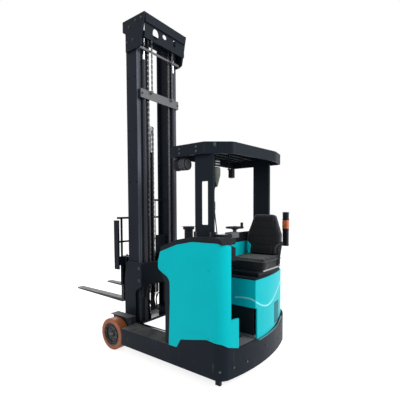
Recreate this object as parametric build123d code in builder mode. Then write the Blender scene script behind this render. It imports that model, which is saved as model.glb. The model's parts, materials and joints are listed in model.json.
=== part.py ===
"""Reach truck: outrigger legs, operator's compartment, three-stage mast on a reach carriage.

Millimetres. +Y points to the forks, +X to the driver's seat side, +Z up. The origin is on
the floor, in the middle of the truck's length and width with the forks as parked.
Places along the truck are stations, measured forward from the rear bumper's middle.
"""
from build123d import *
from math import cos, radians, sin, sqrt
import os

os.makedirs("parts", exist_ok=True)

# Whole truck
overall_width = 1270
half_width = overall_width / 2
running_gap = 0.3
seam = 3

# Chassis
leg_width = 209
leg_bottom = 105
leg_top = 286
leg_inner = half_width - leg_width
leg_web = 14
rail_depth = 60
rail_low = 135
rail_high = 255
leg_front = 1790
body_front = 708
bumper_bow = 100
bumper_wall = 40
corner_radius = 110
floor_top = 374
footwell_top = 344
floor_thick = 12

# Load wheels
axle_station = 1611
load_wheel_radius = 175
load_wheel_width = 110
load_tyre_wall = 45
load_wheel_gap = 15
axle_radius = 25
bore_gap = 0.05

# Drive wheel and its turntable
drive_x = 100
drive_station = 330
drive_wheel_radius = 171.5
drive_wheel_width = 130
drive_tyre_wall = 35
turntable_radius = 130
turntable_neck = 90
turntable_low = 350
drive_arm = 45
motor_radius = 100
motor_height = 330

# Body panels
panel_wall = 20
nose_station = 845
hood_station = 458
hood_low = 400
hood_top = 1216
trim_rise = 46
console_inner = 180 - half_width
console_bottom = 1130
shelf_inner = -300
shelf_rear = 150
seat_box_top = 905
seat_box_side = -165
seat_box_wall = 14
seat_box_inset = bumper_wall - seat_box_wall
entry_panel_top = 640

# Battery
hood_wall = 12
hood_half = half_width - panel_wall
battery_gap = 18
battery_width = 2 * (hood_half - hood_wall - battery_gap)
battery_length = 200
battery_height = 784

# Seat
seat_rear_station = 20
seat_width = 420
seat_front = -14
seat_depth = 430
seat_base_height = 60
cushion_height = 115
back_top = 1540
back_thick = 75
back_lean = 6
back_setback = 75
back_rise = 5.5

# Overhead guard
guard_top = 2175
guard_half = half_width - 70
guard_rim = 105
guard_plate = 10
guard_wall = 12
guard_front = 730
guard_rear = 52
post_thick = 22
left_post_x = 65 - guard_half
left_post_rear = 270
left_post_front = 478
right_post_x = guard_half - 25
right_post_rear = 243
right_post_front = 440

# Reach carriage
reach_stroke = 580
mast_rear = 1467
mast_depth = 178
mast_front = mast_rear + mast_depth
carriage_plate = 30
carriage_rear = mast_rear + 33
carriage_front = mast_front + 43
carriage_bottom = 150
carriage_top = 965
cross_top = 220
portal_low = 690

# Mast stages: outermost half width first
upright_web = 14
upright_flange = 16
stage_gap = 5
tie_gap = 6
tie_thick = 10
mast_side_gap = 96
outer_flange = 56
mid_flange = 50
inner_flange = 52
outer_half = leg_inner - mast_side_gap
outer_inner = outer_half - outer_flange
mid_half = outer_inner - stage_gap
mid_inner = mid_half - mid_flange
inner_half = mid_inner - stage_gap
inner_inner = inner_half - inner_flange
mast_low = 250
mast_head = 3750
outer_top = 3690
mid_low = 276
mid_top = 3620
inner_low = 300
inner_top = 3600
head_rear = mast_rear - 162
head_low = 3395
clamp_low = 2856
clamp_height = 99
head_tie_height = 24
roller_rise = 110
roller_pitch = 340
roller_radius = (mast_depth - 2 * upright_flange) / 2 - running_gap

# Lift cylinders
lift_x = (mid_half + mid_inner) / 2
lift_tube_radius = 20
lift_rod_radius = 14
lift_tube_low = mid_low - tie_gap
lift_tube_top = 3300
lift_station = mast_rear - tie_gap - lift_tube_radius
crosshead_low = mid_top - 75
free_tube_radius = 27
free_rod_radius = 18
free_tube_low = 340
free_tube_top = 2290
free_station = mast_rear + 125
rod_head = 2520
free_sheave_radius = 32

# Lift chains, their sheaves on the mid stage and the hose drum beside them
sheave_radius = 32
sheave_station = lift_station - 26
sheave_height = mid_top - 38
chain_x = 170
chain_width = 20
chain_thick = 8
link_pitch = 60
drum_x = 74
drum_width = 50
drum_radius = 46

# Fork carriage
fork_length = 1000
fork_thick = 40
fork_width = 100
fork_x = 251
fork_top = 477
backrest_half = 400
backrest_top = 1490
backrest_low = 858
fork_bar_top = 1010
fork_bar_low = 905
lower_bar_top = 735
lower_bar_low = 665
tilt_height = 960
ear_radius = 20
ear_reach = 24.7
fork_bar_thick = 30

# The side shifter, the tilt pins and the forks follow the reach carriage
shift_rear = carriage_front + 5
shift_low = shift_rear + running_gap
shift_thick = 20
tilt_station = shift_low + shift_thick + ear_radius + 2
tilt_rear = tilt_station + ear_reach
fork_heel = tilt_rear + fork_bar_thick + fork_thick
overall_length = fork_heel + fork_length


def at(station):
    """Y of a station."""
    return station - overall_length / 2


def bar(x, y, z, mode=Mode.ADD):
    """Box between low and high values on each axis."""
    centre = tuple((low + high) / 2 for low, high in (x, y, z))
    with Locations(centre):
        Box(x[1] - x[0], y[1] - y[0], z[1] - z[0], mode=mode)


def rod(centre, radius, length, along, mode=Mode.ADD):
    """Cylinder about an axis named by its letter."""
    turn = {"X": (0, 90, 0), "Y": (90, 0, 0), "Z": (0, 0, 0)}[along]
    with Locations(Location(centre, turn)):
        Cylinder(radius, length, mode=mode)


def outline(rows):
    """Closed face from rows of u, v and corner radius."""
    with BuildSketch() as face:
        with BuildLine():
            FilletPolyline(*[row[:2] for row in rows], radius=[row[2] for row in rows], close=True)
        make_face()
    return face.sketch


def side_plate(face, x_low, x_high, mode=Mode.ADD):
    """Extrude a side view, drawn in stations and heights, between two X values."""
    with BuildSketch(Plane.YZ.offset(x_low)) as view:
        with Locations((at(0), 0)):
            add(face)
    extrude(view.sketch, amount=x_high - x_low, mode=mode)


def bowed_plan(half, rear, bow, corner, front):
    """Plan face with straight sides and a bowed rear edge; stations for rear and front."""
    with BuildSketch() as face:
        with BuildLine():
            Line((-half, at(front)), (-half, at(rear + bow)))
            ThreePointArc((-half, at(rear + bow)), (0, at(rear)), (half, at(rear + bow)))
            Line((half, at(rear + bow)), (half, at(front)))
            Line((half, at(front)), (-half, at(front)))
        make_face()
        fillet(face.vertices().group_by(Axis.Y)[0], corner)
    return face.sketch


bow_radius = (half_width ** 2 + bumper_bow ** 2) / (2 * bumper_bow)


def footprint(inset, front):
    """The bumper's plan, moved in by an inset."""
    half = half_width - inset
    radius = bow_radius - inset
    bow = radius - sqrt(radius ** 2 - half ** 2)
    return bowed_plan(half, inset, bow, corner_radius - inset, front)


def place(name, label):
    """Label a finished piece and write it."""
    name.part.label = label
    export_step(name.part, f"parts/{label}.step")


# The bumper's top edge, which the side panels follow: station, height, corner radius
skirt_line = [
    (-60, 332, 0),
    (30, 336, 60),
    (105, 425, 60),
    (260, 440, 80),
    (470, 391, 60),
    (560, 372, 30),
    (610, leg_top, 20),
    (body_front, leg_top, 0),
]

# The side panels' top edge, rear to front: station, height, corner radius
panel_top = 1287
panel_top_line = [
    (-60, panel_top - 70, 0),
    (140, panel_top, 120),
    (415, panel_top, 120),
    (600, 1252, 120),
    (816, 1172, 12),
]

# The side panels' front edge, top to bottom
panel_front_line = [
    (nose_station, 1080, 60),
    (nose_station, 1004, 28),
    (790, 972, 40),
    (692, 925, 90),
    (692, 700, 200),
]


# Outrigger legs with the reach rails in their inner sides
rear_end = 220
wheel_clear = axle_station - load_wheel_radius - load_wheel_gap
inner_part = leg_inner + rail_depth + leg_web

with BuildPart() as outrigger_legs:
    bar((leg_inner, half_width), (at(body_front), at(wheel_clear)), (leg_bottom, leg_top))
    bar((leg_inner, half_width - bumper_wall), (at(rear_end), at(body_front)), (leg_bottom, leg_top))
    bar((leg_inner, inner_part), (at(wheel_clear), at(leg_front)), (leg_bottom, leg_top))
    bar(
        (leg_inner, leg_inner + rail_depth),
        (at(body_front) + 60, at(leg_front) - 14),
        (rail_low, rail_high),
        mode=Mode.SUBTRACT,
    )
    front_corner = outrigger_legs.edges().filter_by(Axis.X).group_by(Axis.Y)[-1]
    fillet(front_corner, 40)
    axle_length = load_wheel_gap + load_wheel_width - 20
    rod(
        (inner_part + axle_length / 2, at(axle_station), load_wheel_radius),
        axle_radius,
        axle_length,
        "X",
    )
    mirror(about=Plane.YZ)
place(outrigger_legs, "outrigger_legs")

step_x = seat_box_side + seat_box_wall
panel_wrap_x = -440
sill_top = 345

# Rear bumper, a bowed skirt whose top edge waves along the sides
skirt_outer = footprint(0, body_front)
skirt_inner = footprint(bumper_wall, body_front + 10)
skirt_cut = outline(skirt_line + [(body_front + 20, leg_top, 0), (body_front + 20, 700, 0), (-60, 700, 0)])

with BuildPart() as rear_bumper:
    with BuildSketch(Plane.XY.offset(leg_bottom)):
        add(skirt_outer)
        add(skirt_inner, mode=Mode.SUBTRACT)
    extrude(amount=400)
    side_plate(skirt_cut, -half_width, half_width, mode=Mode.SUBTRACT)
    bar((panel_wrap_x, step_x), (at(-10), at(140)), (sill_top, 600), mode=Mode.SUBTRACT)
    for side in (-1, 1):
        bar((side * 608 - 14, side * 608 + 14), (at(125), at(175)), (leg_bottom - 42, leg_bottom + 1))
place(rear_bumper, "rear_bumper")

# Floor: a low footwell on the left, stepped up over the drive wheel and under the battery
step_station = hood_station
with BuildPart() as floor_plate:
    with BuildSketch(Plane.XY.offset(footwell_top - floor_thick)):
        add(footprint(bumper_wall, body_front - 20))
    extrude(amount=floor_top - footwell_top + floor_thick)
    bar((-half_width, step_x), (at(-10), at(step_station)), (footwell_top, floor_top + 1), mode=Mode.SUBTRACT)
    low_cut = (footwell_top - floor_thick - 1, floor_top - floor_thick)
    bar((step_x + floor_thick, half_width), (at(-10), at(body_front)), low_cut, mode=Mode.SUBTRACT)
    bar((-half_width, half_width), (at(step_station + floor_thick), at(body_front)), low_cut, mode=Mode.SUBTRACT)
    rod((drive_x, at(drive_station), floor_top), turntable_neck + running_gap, 100, "Z", mode=Mode.SUBTRACT)
place(floor_plate, "floor_plate")

# Front frame: bulkhead, the black cheeks in front of it and the beam that holds the reach cylinder
cheek_front = 773
cheek_rows = [
    (body_front - 14, leg_top + 2, 0),
    (cheek_front, leg_top + 2, 0),
    (cheek_front, 880, 70),
    (832, 972, 20),
    (832, 1150, 10),
    (body_front - 14, 1180, 0),
]
reach_x = -250
reach_height = 190
reach_tube_radius = 36
reach_rod_radius = 22

with BuildPart() as front_frame:
    bar((-half_width + panel_wall, half_width - panel_wall),
        (at(body_front - 20), at(body_front)), (leg_top + 2, 1180))
    for side in (-1, 1):
        cheek_low = -half_width + panel_wall if side < 0 else half_width - panel_wall - 60
        side_plate(outline(cheek_rows), cheek_low, cheek_low + 60)
    bar((-leg_inner, leg_inner), (at(body_front - 20), at(body_front + 40)), (leg_bottom + 10, leg_top + 2))
    rod((reach_x, at(body_front), reach_height), reach_tube_radius, 300, "Y", mode=Mode.SUBTRACT)
place(front_frame, "front_frame")

# Battery, one block in its bay
battery_station = body_front - 20 - 10 - battery_length / 2
with BuildPart() as battery:
    bar(
        (-battery_width / 2, battery_width / 2),
        (at(battery_station - battery_length / 2), at(battery_station + battery_length / 2)),
        (floor_top, floor_top + battery_height),
    )
    fillet(battery.edges().filter_by(Axis.Z), 10)
place(battery, "battery")

# Hood over the battery
with BuildPart() as battery_hood:
    bar((-hood_half, hood_half), (at(hood_station), at(body_front - 20)), (hood_low, hood_top))
    bar(
        (-hood_half + hood_wall, hood_half - hood_wall),
        (at(hood_station + hood_wall), at(body_front)),
        (hood_low - 1, hood_top - hood_wall),
        mode=Mode.SUBTRACT,
    )
place(battery_hood, "battery_hood")

# Side panels
panel_side = outline(
    skirt_line[:-1]
    + [(body_front + 2, leg_top, 0)]
    + panel_front_line[::-1]
    + panel_top_line[::-1]
)
panel_notch_height = 620
upper_rear_edge = -530
right_panel_rear = hood_station + seam

with BuildPart() as side_panel_left:
    with BuildSketch(Plane.XY.offset(leg_top)):
        add(footprint(0, nose_station + 10))
        add(footprint(panel_wall, nose_station + 20), mode=Mode.SUBTRACT)
        with Locations((panel_wrap_x + half_width, at(300))):
            Rectangle(overall_width, 1400, mode=Mode.SUBTRACT)
    extrude(amount=1100)
    side_plate(panel_side, -half_width, 0, mode=Mode.INTERSECT)
    bar((upper_rear_edge, 0), (at(-20), at(200)), (panel_notch_height, 1400), mode=Mode.SUBTRACT)
place(side_panel_left, "side_panel_left")

with BuildPart() as side_panel_right:
    side_plate(panel_side, half_width - panel_wall, half_width)
    bar((0, half_width + 10), (at(-100), at(right_panel_rear)), (0, 1500), mode=Mode.SUBTRACT)
place(side_panel_right, "side_panel_right")

# Console over the left panel and dash over the hood
trim_rear = 95
trim_rows = (
    [(s, z, r) for s, z, r in panel_top_line[2:]]
    + [(s, z + trim_rise, r) for s, z, r in panel_top_line[:1:-1]]
)
trim_rows = (
    [(trim_rear, panel_top - 14, 0), (140, panel_top, 30)]
    + trim_rows
    + [(140, panel_top + trim_rise, 40), (trim_rear, panel_top + trim_rise * 0.4, 8)]
)
shelf_low = panel_top - 30
shelf_top = panel_top + 24

above_strip = outline([
    (-60, panel_top - 90, 0),
    (140, panel_top - 20, 0),
    (140, panel_top, 0),
    (-60, panel_top, 0),
])

with BuildPart() as console:
    with BuildSketch(Plane.XY.offset(console_bottom)):
        add(footprint(panel_wall, hood_station))
        with Locations((console_inner + half_width, 0)):
            Rectangle(overall_width, overall_length, mode=Mode.SUBTRACT)
    extrude(amount=panel_top - 20 - console_bottom)
    side_plate(above_strip, -half_width, console_inner + 1, mode=Mode.SUBTRACT)
    side_plate(outline(trim_rows), -half_width + seam, console_inner)
    bar((-half_width, 0), (at(hood_station), at(900)), (0, 1500), mode=Mode.SUBTRACT)
    bar((console_inner - 45, console_inner + 95), (at(shelf_rear + 20), at(left_post_rear - 20)),
        (shelf_low, panel_top + 63))
    with BuildSketch(Plane.XY.offset(shelf_low)):
        with BuildLine():
            FilletPolyline(
                (console_inner - 20, at(shelf_rear)), (shelf_inner, at(shelf_rear)),
                (shelf_inner, at(hood_station)), (console_inner - 20, at(hood_station)),
                radius=[0, 40, 0, 0], close=True,
            )
        make_face()
    extrude(amount=shelf_top - shelf_low)
place(console, "console")

dash_fill = [
    (hood_station, hood_top, 0),
    (body_front - 20, hood_top, 0),
    (600, panel_top - 34, 60),
    (hood_station, panel_top + 1, 0),
]
with BuildPart() as dash:
    side_plate(outline(trim_rows), -half_width + seam, half_width - seam)
    bar((-half_width, half_width), (at(-50), at(hood_station)), (0, 1500), mode=Mode.SUBTRACT)
    bar((-leg_inner, leg_inner), (at(body_front), at(900)), (0, 1500), mode=Mode.SUBTRACT)
    side_plate(outline(dash_fill), -hood_half, hood_half)
place(dash, "dash")

# Seat box over the drive motor, with the dark panel beside the entry
seat_box_low = 300
with BuildPart() as seat_box:
    with BuildSketch(Plane.XY.offset(seat_box_low)):
        add(footprint(seat_box_inset, hood_station))
        with Locations((seat_box_side - half_width, at(250))):
            Rectangle(overall_width, 900, mode=Mode.SUBTRACT)
    extrude(amount=seat_box_top - seat_box_low)
    with BuildSketch(Plane.XY.offset(seat_box_low)):
        add(footprint(seat_box_inset + seat_box_wall, hood_station - seat_box_wall))
        with Locations((seat_box_side + seat_box_wall - half_width, at(250))):
            Rectangle(overall_width, 900, mode=Mode.SUBTRACT)
    extrude(amount=seat_box_top - seat_box_low - seat_box_wall, mode=Mode.SUBTRACT)
    side_plate(outline(skirt_line + [(body_front, 0, 0), (-60, 0, 0)]), -half_width, half_width, mode=Mode.SUBTRACT)
    bar((seat_box_side - 5, seat_box_side + 30), (at(0), at(hood_station - 40)),
        (seat_box_low - 5, entry_panel_top), mode=Mode.SUBTRACT)
place(seat_box, "seat_box")

with BuildPart() as entry_panel:
    bar((seat_box_side + seat_box_wall, seat_box_side + seat_box_wall + 8),
        (at(60), at(hood_station - seat_box_wall)), (floor_top, entry_panel_top + 20))
place(entry_panel, "entry_panel")

# Seat, facing the console
seat_rear = seat_rear_station
seat_front_station = seat_rear_station + seat_width
base_plate = 14
with BuildPart() as seat_base:
    with BuildSketch(Plane.XY.offset(seat_box_top)):
        add(footprint(seat_box_inset + 6, hood_station - 10))
        with Locations((seat_box_side + 6 - half_width, at(250)), (500 + half_width, at(250))):
            Rectangle(overall_width, 900, mode=Mode.SUBTRACT)
    extrude(amount=base_plate)
    bar((seat_front - 60, seat_front + seat_depth - 20), (at(seat_rear + 30), at(seat_front_station - 20)),
        (seat_box_top + base_plate, seat_box_top + seat_base_height))
    chamfer(seat_base.edges().group_by(Axis.Z)[-1], 12)
place(seat_base, "seat_base")

cushion_low = seat_box_top + seat_base_height
with BuildPart() as seat_cushion:
    bar((seat_front, seat_front + seat_depth), (at(seat_rear), at(seat_front_station)),
        (cushion_low, cushion_low + cushion_height))
    fillet(seat_cushion.edges().filter_by(Axis.Z), 40)
    fillet(seat_cushion.edges().group_by(Axis.Z)[-1], 25)
place(seat_cushion, "seat_cushion")

back_low = cushion_low + cushion_height + back_rise
back_plane = Plane(
    origin=(seat_front + seat_depth - back_setback, at(seat_rear + seat_width / 2), back_low),
    x_dir=(0, 1, 0),
    z_dir=(cos(radians(back_lean)), 0, -sin(radians(back_lean))),
)
back_height = (back_top - back_low) / cos(radians(back_lean)) - back_thick * sin(radians(back_lean))
back_rows = [
    (-seat_width * 0.38, 0, 20),
    (seat_width * 0.38, 0, 20),
    (seat_width * 0.38, back_height * 0.2, 20),
    (seat_width / 2, back_height * 0.3, 30),
    (seat_width / 2, back_height * 0.5, 60),
    (seat_width * 0.3, back_height, 50),
    (-seat_width * 0.3, back_height, 50),
    (-seat_width / 2, back_height * 0.5, 60),
    (-seat_width / 2, back_height * 0.3, 30),
    (-seat_width * 0.38, back_height * 0.2, 20),
]
with BuildPart() as seat_back:
    with BuildSketch(back_plane):
        add(outline(back_rows))
    extrude(amount=back_thick)
    fillet(seat_back.faces().sort_by(Axis.X)[0].edges(), 20)
place(seat_back, "seat_back")

# Overhead guard
post_leg = 60
post_window = [
    (left_post_rear + post_leg, 1437, 8),
    (left_post_front - post_leg - 8, 1437, 8),
    (left_post_front - post_leg - 8, 1832, 8),
    (left_post_rear + post_leg, 1832, 8),
]
below_trim = outline([(s, z + trim_rise, r) for s, z, r in panel_top_line] + [(816, 0, 0), (-60, 0, 0)])


def guard_post(x, rear, front, low):
    """Upright plate from its foot to the roof."""
    side_plate(
        outline([
            (rear, low, 0),
            (front, low, 0),
            (front, guard_top - guard_plate, 0),
            (rear, guard_top - guard_plate, 0),
        ]),
        x - post_thick / 2,
        x + post_thick / 2,
    )


foot_half = 26
with BuildPart() as guard_post_left:
    guard_post(left_post_x, left_post_rear, left_post_front, panel_top - 40)
    side_plate(outline(post_window), left_post_x - post_thick, left_post_x + post_thick, mode=Mode.SUBTRACT)
    bar((left_post_x - foot_half, left_post_x + foot_half), (at(left_post_rear - 6), at(left_post_front + 6)),
        (panel_top - 40, panel_top + trim_rise + 40))
    side_plate(below_trim, left_post_x - foot_half, left_post_x + foot_half, mode=Mode.SUBTRACT)
    bar((left_post_x - post_thick, left_post_x + post_thick), (at(left_post_rear - 1), at(left_post_rear + 24)),
        (guard_top - guard_rim - 2, guard_top), mode=Mode.SUBTRACT)
place(guard_post_left, "guard_post_left")

post_lip = 14
with BuildPart() as guard_post_right:
    guard_post(right_post_x, right_post_rear, right_post_front, seat_box_top + running_gap)
    bar((right_post_x + post_thick / 2, right_post_x + post_thick / 2 + post_lip),
        (at(right_post_rear), at(right_post_rear + 8)),
        (seat_box_top + 40, guard_top - guard_rim - 5))
place(guard_post_right, "guard_post_right")

# The roof's plan, whose left corner is cut back beside the entry: x, station, corner radius
roof_rows = [
    (-guard_half, guard_front, 0),
    (-guard_half, guard_rear + 278, 60),
    (-guard_half + 165, guard_rear + 73, 80),
    (guard_half - 265, guard_rear, 200),
    (guard_half, guard_rear + 58, 70),
    (guard_half, guard_front, 0),
]
window_x = (-266, 338)
window_stations = (215, 345)
rib_stations = (410, 500, 590, 680)
with BuildPart() as guard_roof:
    with BuildSketch(Plane.XY.offset(guard_top - guard_rim)):
        with Locations((0, at(0))):
            add(outline(roof_rows))
    extrude(amount=guard_rim)
    with BuildSketch(Plane.XY.offset(guard_top - guard_rim)):
        with Locations((0, at(0))):
            add(outline(roof_rows))
        offset(amount=-guard_wall, mode=Mode.REPLACE)
    extrude(amount=guard_rim - guard_plate, mode=Mode.SUBTRACT)
    bar(window_x, (at(window_stations[0]), at(window_stations[1])),
        (guard_top - guard_plate - 1, guard_top + 1), mode=Mode.SUBTRACT)
    for station in rib_stations:
        bar((-guard_half + guard_wall, guard_half - guard_wall), (at(station - 4), at(station + 4)),
            (guard_top - 45, guard_top - guard_plate))
    for x in (left_post_x, right_post_x):
        bar((x - post_thick / 2 - 2, x + post_thick / 2 + 2),
            (at(right_post_rear - 10), at(left_post_front + 10)),
            (guard_top - 50, guard_top - guard_plate), mode=Mode.SUBTRACT)
place(guard_roof, "guard_roof")

window_lap = 16
with BuildPart() as roof_window:
    bar((window_x[0] - window_lap, window_x[1] + window_lap),
        (at(window_stations[0] - window_lap), at(window_stations[1] + window_lap)),
        (guard_top - guard_plate - 5, guard_top - guard_plate))
place(roof_window, "roof_window")

# Lamps and fan under the roof
with BuildPart() as work_lamp:
    rod((left_post_x, at(636), 2005), 56, 130, "Y")
    bar((left_post_x - 12, left_post_x + 12), (at(615), at(655)), (2050, guard_top - guard_plate))
place(work_lamp, "work_lamp")

fan_x = left_post_x + 60
fan_station = left_post_rear + 30
with BuildPart() as guard_fan:
    rod((fan_x, at(fan_station), 1990), 45, 60, "Y")
    with BuildSketch(Plane.XY.offset(1780)):
        with Locations((fan_x, at(fan_station))):
            Circle(18)
    with BuildSketch(Plane.XY.offset(1950)):
        with Locations((fan_x, at(fan_station))):
            Circle(32)
    loft()
    bar((left_post_x + post_thick / 2, fan_x), (at(fan_station - 10), at(fan_station + 10)), (1830, 1850))
place(guard_fan, "guard_fan")

with BuildPart() as cabin_lamp:
    bar((-125, -75), (at(315), at(365)), (1890, 1975))
    fillet(cabin_lamp.edges().filter_by(Axis.Z), 8)
    bar((-112, -88), (at(330), at(380)), (1970, 1980))
    rod((-100, at(371), (1975 + guard_top - guard_plate) / 2), 8, guard_top - guard_plate - 1975, "Z")
place(cabin_lamp, "cabin_lamp")

# Signal lamp behind the seat
lamp_x = 600
lamp_station = 67
lamp_half = 28
lamp_low = 1164
lamp_arm_top = 1200
with BuildPart() as lamp_post:
    rod((lamp_x - 55, at(lamp_station + 63), (seat_box_top + lamp_arm_top) / 2),
        14, lamp_arm_top - seat_box_top, "Z")
    bar((lamp_x - 69, lamp_x - lamp_half), (at(lamp_station + 5), at(lamp_station + 63)),
        (lamp_arm_top - 28, lamp_arm_top))
place(lamp_post, "lamp_post")

with BuildPart() as signal_lamp:
    bar((lamp_x - lamp_half, lamp_x + lamp_half), (at(lamp_station - 30), at(lamp_station + 30)),
        (lamp_low, lamp_low + 380))
    fillet(signal_lamp.edges().filter_by(Axis.Z), 14)
    fillet(signal_lamp.edges().group_by(Axis.Z)[-1], 12)
place(signal_lamp, "signal_lamp")

# Lever box on the dash
lever_x = -400
lever_station = 650
with BuildPart() as lever_box:
    rod((lever_x, at(lever_station), 1320), 42, 160, "Z")
    rod((lever_x, at(lever_station), 1395), 56, 28, "Z")
    side_plate(below_trim, lever_x - 60, lever_x + 60, mode=Mode.SUBTRACT)
place(lever_box, "lever_box")

# Steering wheel and its column
wheel_x = shelf_inner + 75
wheel_station = 225
wheel_height = shelf_top + 72
wheel_ring = 78
wheel_grip = 9
with BuildPart() as steering_column:
    bar((shelf_inner - 45, wheel_x + 24), (at(wheel_station - 40), at(wheel_station + 40)),
        (shelf_top, wheel_height - 20))
    fillet(steering_column.edges().filter_by(Axis.Z), 16)
    fillet(steering_column.edges().group_by(Axis.Z)[-1], 10)
    rod((wheel_x, at(wheel_station), wheel_height - 20), 18, 40, "Z")
place(steering_column, "steering_column")

with BuildPart() as steering_wheel:
    with Locations((wheel_x, at(wheel_station), wheel_height + 20)):
        Torus(wheel_ring, wheel_grip)
    rod((wheel_x, at(wheel_station), wheel_height + 10), 30, 20 - 2 * running_gap, "Z")
    for turn in (90, 210, 330):
        with Locations(Location((wheel_x, at(wheel_station), wheel_height + 14), (0, 0, turn))):
            with Locations((wheel_ring / 2, 0, 0)):
                Box(wheel_ring, 18, 8)
    rod((wheel_x, at(wheel_station - wheel_ring), wheel_height + 47), 13, 46, "Z")
place(steering_wheel, "steering_wheel")

# Traction motor, one block on the floor over the turntable
with BuildPart() as drive_motor:
    rod((drive_x, at(drive_station), floor_top + motor_height / 2), motor_radius, motor_height, "Z")
place(drive_motor, "drive_motor")

# Steered drive unit
with BuildPart() as drive_unit:
    rod((drive_x, at(drive_station), turntable_low + 5), turntable_radius, 10, "Z")
    rod((drive_x, at(drive_station), (turntable_low + floor_top - 1) / 2),
        turntable_neck, floor_top - 1 - turntable_low, "Z")
    arm_low = drive_x + drive_wheel_width / 2 + 10
    with BuildSketch(Plane.YZ.offset(arm_low)):
        with Locations((at(drive_station), 0)):
            add(outline([(-90, turntable_low + 2, 0), (-70, 110, 60), (70, 110, 60), (90, turntable_low + 2, 0)]))
    extrude(amount=drive_arm)
    rod((drive_x + 10, at(drive_station), drive_wheel_radius), 28, drive_wheel_width + 20, "X")
place(drive_unit, "drive_unit")


def wheel(x_low, width, station, radius, tyre_wall, bore, plate_side):
    """Tyre and hub about an axle along X; the hub is dished on its outer side."""
    centre = (x_low + width / 2, at(station), radius)
    with BuildPart() as tyre:
        rod(centre, radius, width, "X")
        fillet(tyre.edges().filter_by(GeomType.CIRCLE), 8)
        rod(centre, radius - tyre_wall, width, "X", mode=Mode.SUBTRACT)
    with BuildPart() as hub:
        rod(centre, radius - tyre_wall, width - 8, "X")
        outer = x_low + width - 4 if plate_side > 0 else x_low + 4
        rod((outer, centre[1], centre[2]), radius - tyre_wall - 16, 24, "X", mode=Mode.SUBTRACT)
        rod(centre, bore, width + 10, "X", mode=Mode.SUBTRACT)
    return tyre, hub


drive_tyre, drive_hub = wheel(
    drive_x - drive_wheel_width / 2, drive_wheel_width, drive_station,
    drive_wheel_radius, drive_tyre_wall, 28 + bore_gap, -1,
)
place(drive_tyre, "drive_tyre")
place(drive_hub, "drive_hub")

for side, suffix in ((-1, "left"), (1, "right")):
    low = inner_part + load_wheel_gap
    x_low = low if side > 0 else -low - load_wheel_width
    load_tyre, load_hub = wheel(
        x_low, load_wheel_width, axle_station,
        load_wheel_radius, load_tyre_wall, axle_radius + bore_gap, side,
    )
    place(load_tyre, f"load_tyre_{suffix}")
    place(load_hub, f"load_hub_{suffix}")

# Covers over the load wheels' inner halves
with BuildPart() as wheel_covers:
    for side in (-1, 1):
        cover = (leg_inner + 4, inner_part + 34) if side > 0 else (-inner_part - 34, -leg_inner - 4)
        bar(cover, (at(axle_station - 190), at(axle_station + 120)),
            (2 * load_wheel_radius + 12, 2 * load_wheel_radius + 20))
        stand = (leg_inner + 4, inner_part - 2) if side > 0 else (-inner_part + 2, -leg_inner - 4)
        bar(stand, (at(axle_station - 190), at(axle_station + 120)), (leg_top, 2 * load_wheel_radius + 12))
place(wheel_covers, "wheel_covers")

# Reach cylinder: tube in the chassis, rod on the reach carriage
reach_tube_rear = 400
reach_tube_front = 1040
with BuildPart() as reach_tube:
    rod((reach_x, at((reach_tube_rear + reach_tube_front) / 2), reach_height),
        reach_tube_radius, reach_tube_front - reach_tube_rear, "Y")
    rod((reach_x, at((reach_tube_rear + reach_tube_front) / 2 + 20), reach_height),
        reach_rod_radius + 0.1, reach_tube_front - reach_tube_rear, "Y", mode=Mode.SUBTRACT)
place(reach_tube, "reach_tube")

carriage_cross = (carriage_front - 38, carriage_front - 2)
reach_rod_rear = reach_tube_rear + reach_stroke + 35
with BuildPart() as reach_rod:
    rod((reach_x, at((reach_rod_rear + carriage_cross[0]) / 2), reach_height),
        reach_rod_radius, carriage_cross[0] - reach_rod_rear, "Y")
place(reach_rod, "reach_rod")

portal_station = lift_station - lift_tube_radius - 24

# Reach carriage: two side plates, a portal plate behind the mast and rollers in the legs' rails
plate_rows = [
    (carriage_rear, carriage_bottom, 20),
    (carriage_front, carriage_bottom, 20),
    (carriage_front, 760, 60),
    (mast_front + 10, carriage_top, 40),
    (portal_station, carriage_top, 20),
    (portal_station, portal_low, 30),
    (carriage_rear, portal_low - 60, 30),
]
reach_roller_radius = (rail_high - rail_low) / 2 - running_gap
reach_roller_centre = (rail_high + rail_low) / 2
portal_rows = [
    (-outer_half, 560, 0),
    (-outer_half + 40, 560, 0),
    (-outer_half + 40, portal_low, 70),
    (outer_half - 40, portal_low, 70),
    (outer_half - 40, 560, 0),
    (outer_half, 560, 0),
    (outer_half, carriage_top - 5, 0),
    (-outer_half, carriage_top - 5, 0),
]
with BuildPart() as reach_carriage:
    side_plate(outline(plate_rows), outer_half, outer_half + carriage_plate)
    for station in (carriage_rear + 45, carriage_front - 45):
        roller_x = leg_inner + rail_depth / 2
        rod((roller_x, at(station), reach_roller_centre), reach_roller_radius, rail_depth - 16, "X")
        rod(((outer_half + roller_x) / 2, at(station), reach_roller_centre), 20, roller_x - outer_half, "X")
    mirror(about=Plane.YZ)
    with BuildSketch(Plane.XZ.offset(-at(portal_station + 16))):
        add(outline(portal_rows))
    extrude(amount=16)
    bar((-outer_half, outer_half), (at(carriage_cross[0]), at(carriage_cross[1])), (carriage_bottom, cross_top))
place(reach_carriage, "reach_carriage")


def upright(outer, inner, low, top):
    """Channel open towards the mast's middle, on the +X side, and its twin."""
    with BuildPart() as pair:
        with BuildSketch(Plane.XY.offset(low)):
            with BuildLine():
                Polyline(
                    (outer, at(mast_rear)), (outer, at(mast_front)),
                    (inner, at(mast_front)), (inner, at(mast_front) - upright_flange),
                    (outer - upright_web, at(mast_front) - upright_flange),
                    (outer - upright_web, at(mast_rear) + upright_flange),
                    (inner, at(mast_rear) + upright_flange), (inner, at(mast_rear)),
                    close=True,
                )
            make_face()
        extrude(amount=top - low)
        mirror(about=Plane.YZ)
    return pair


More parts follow.
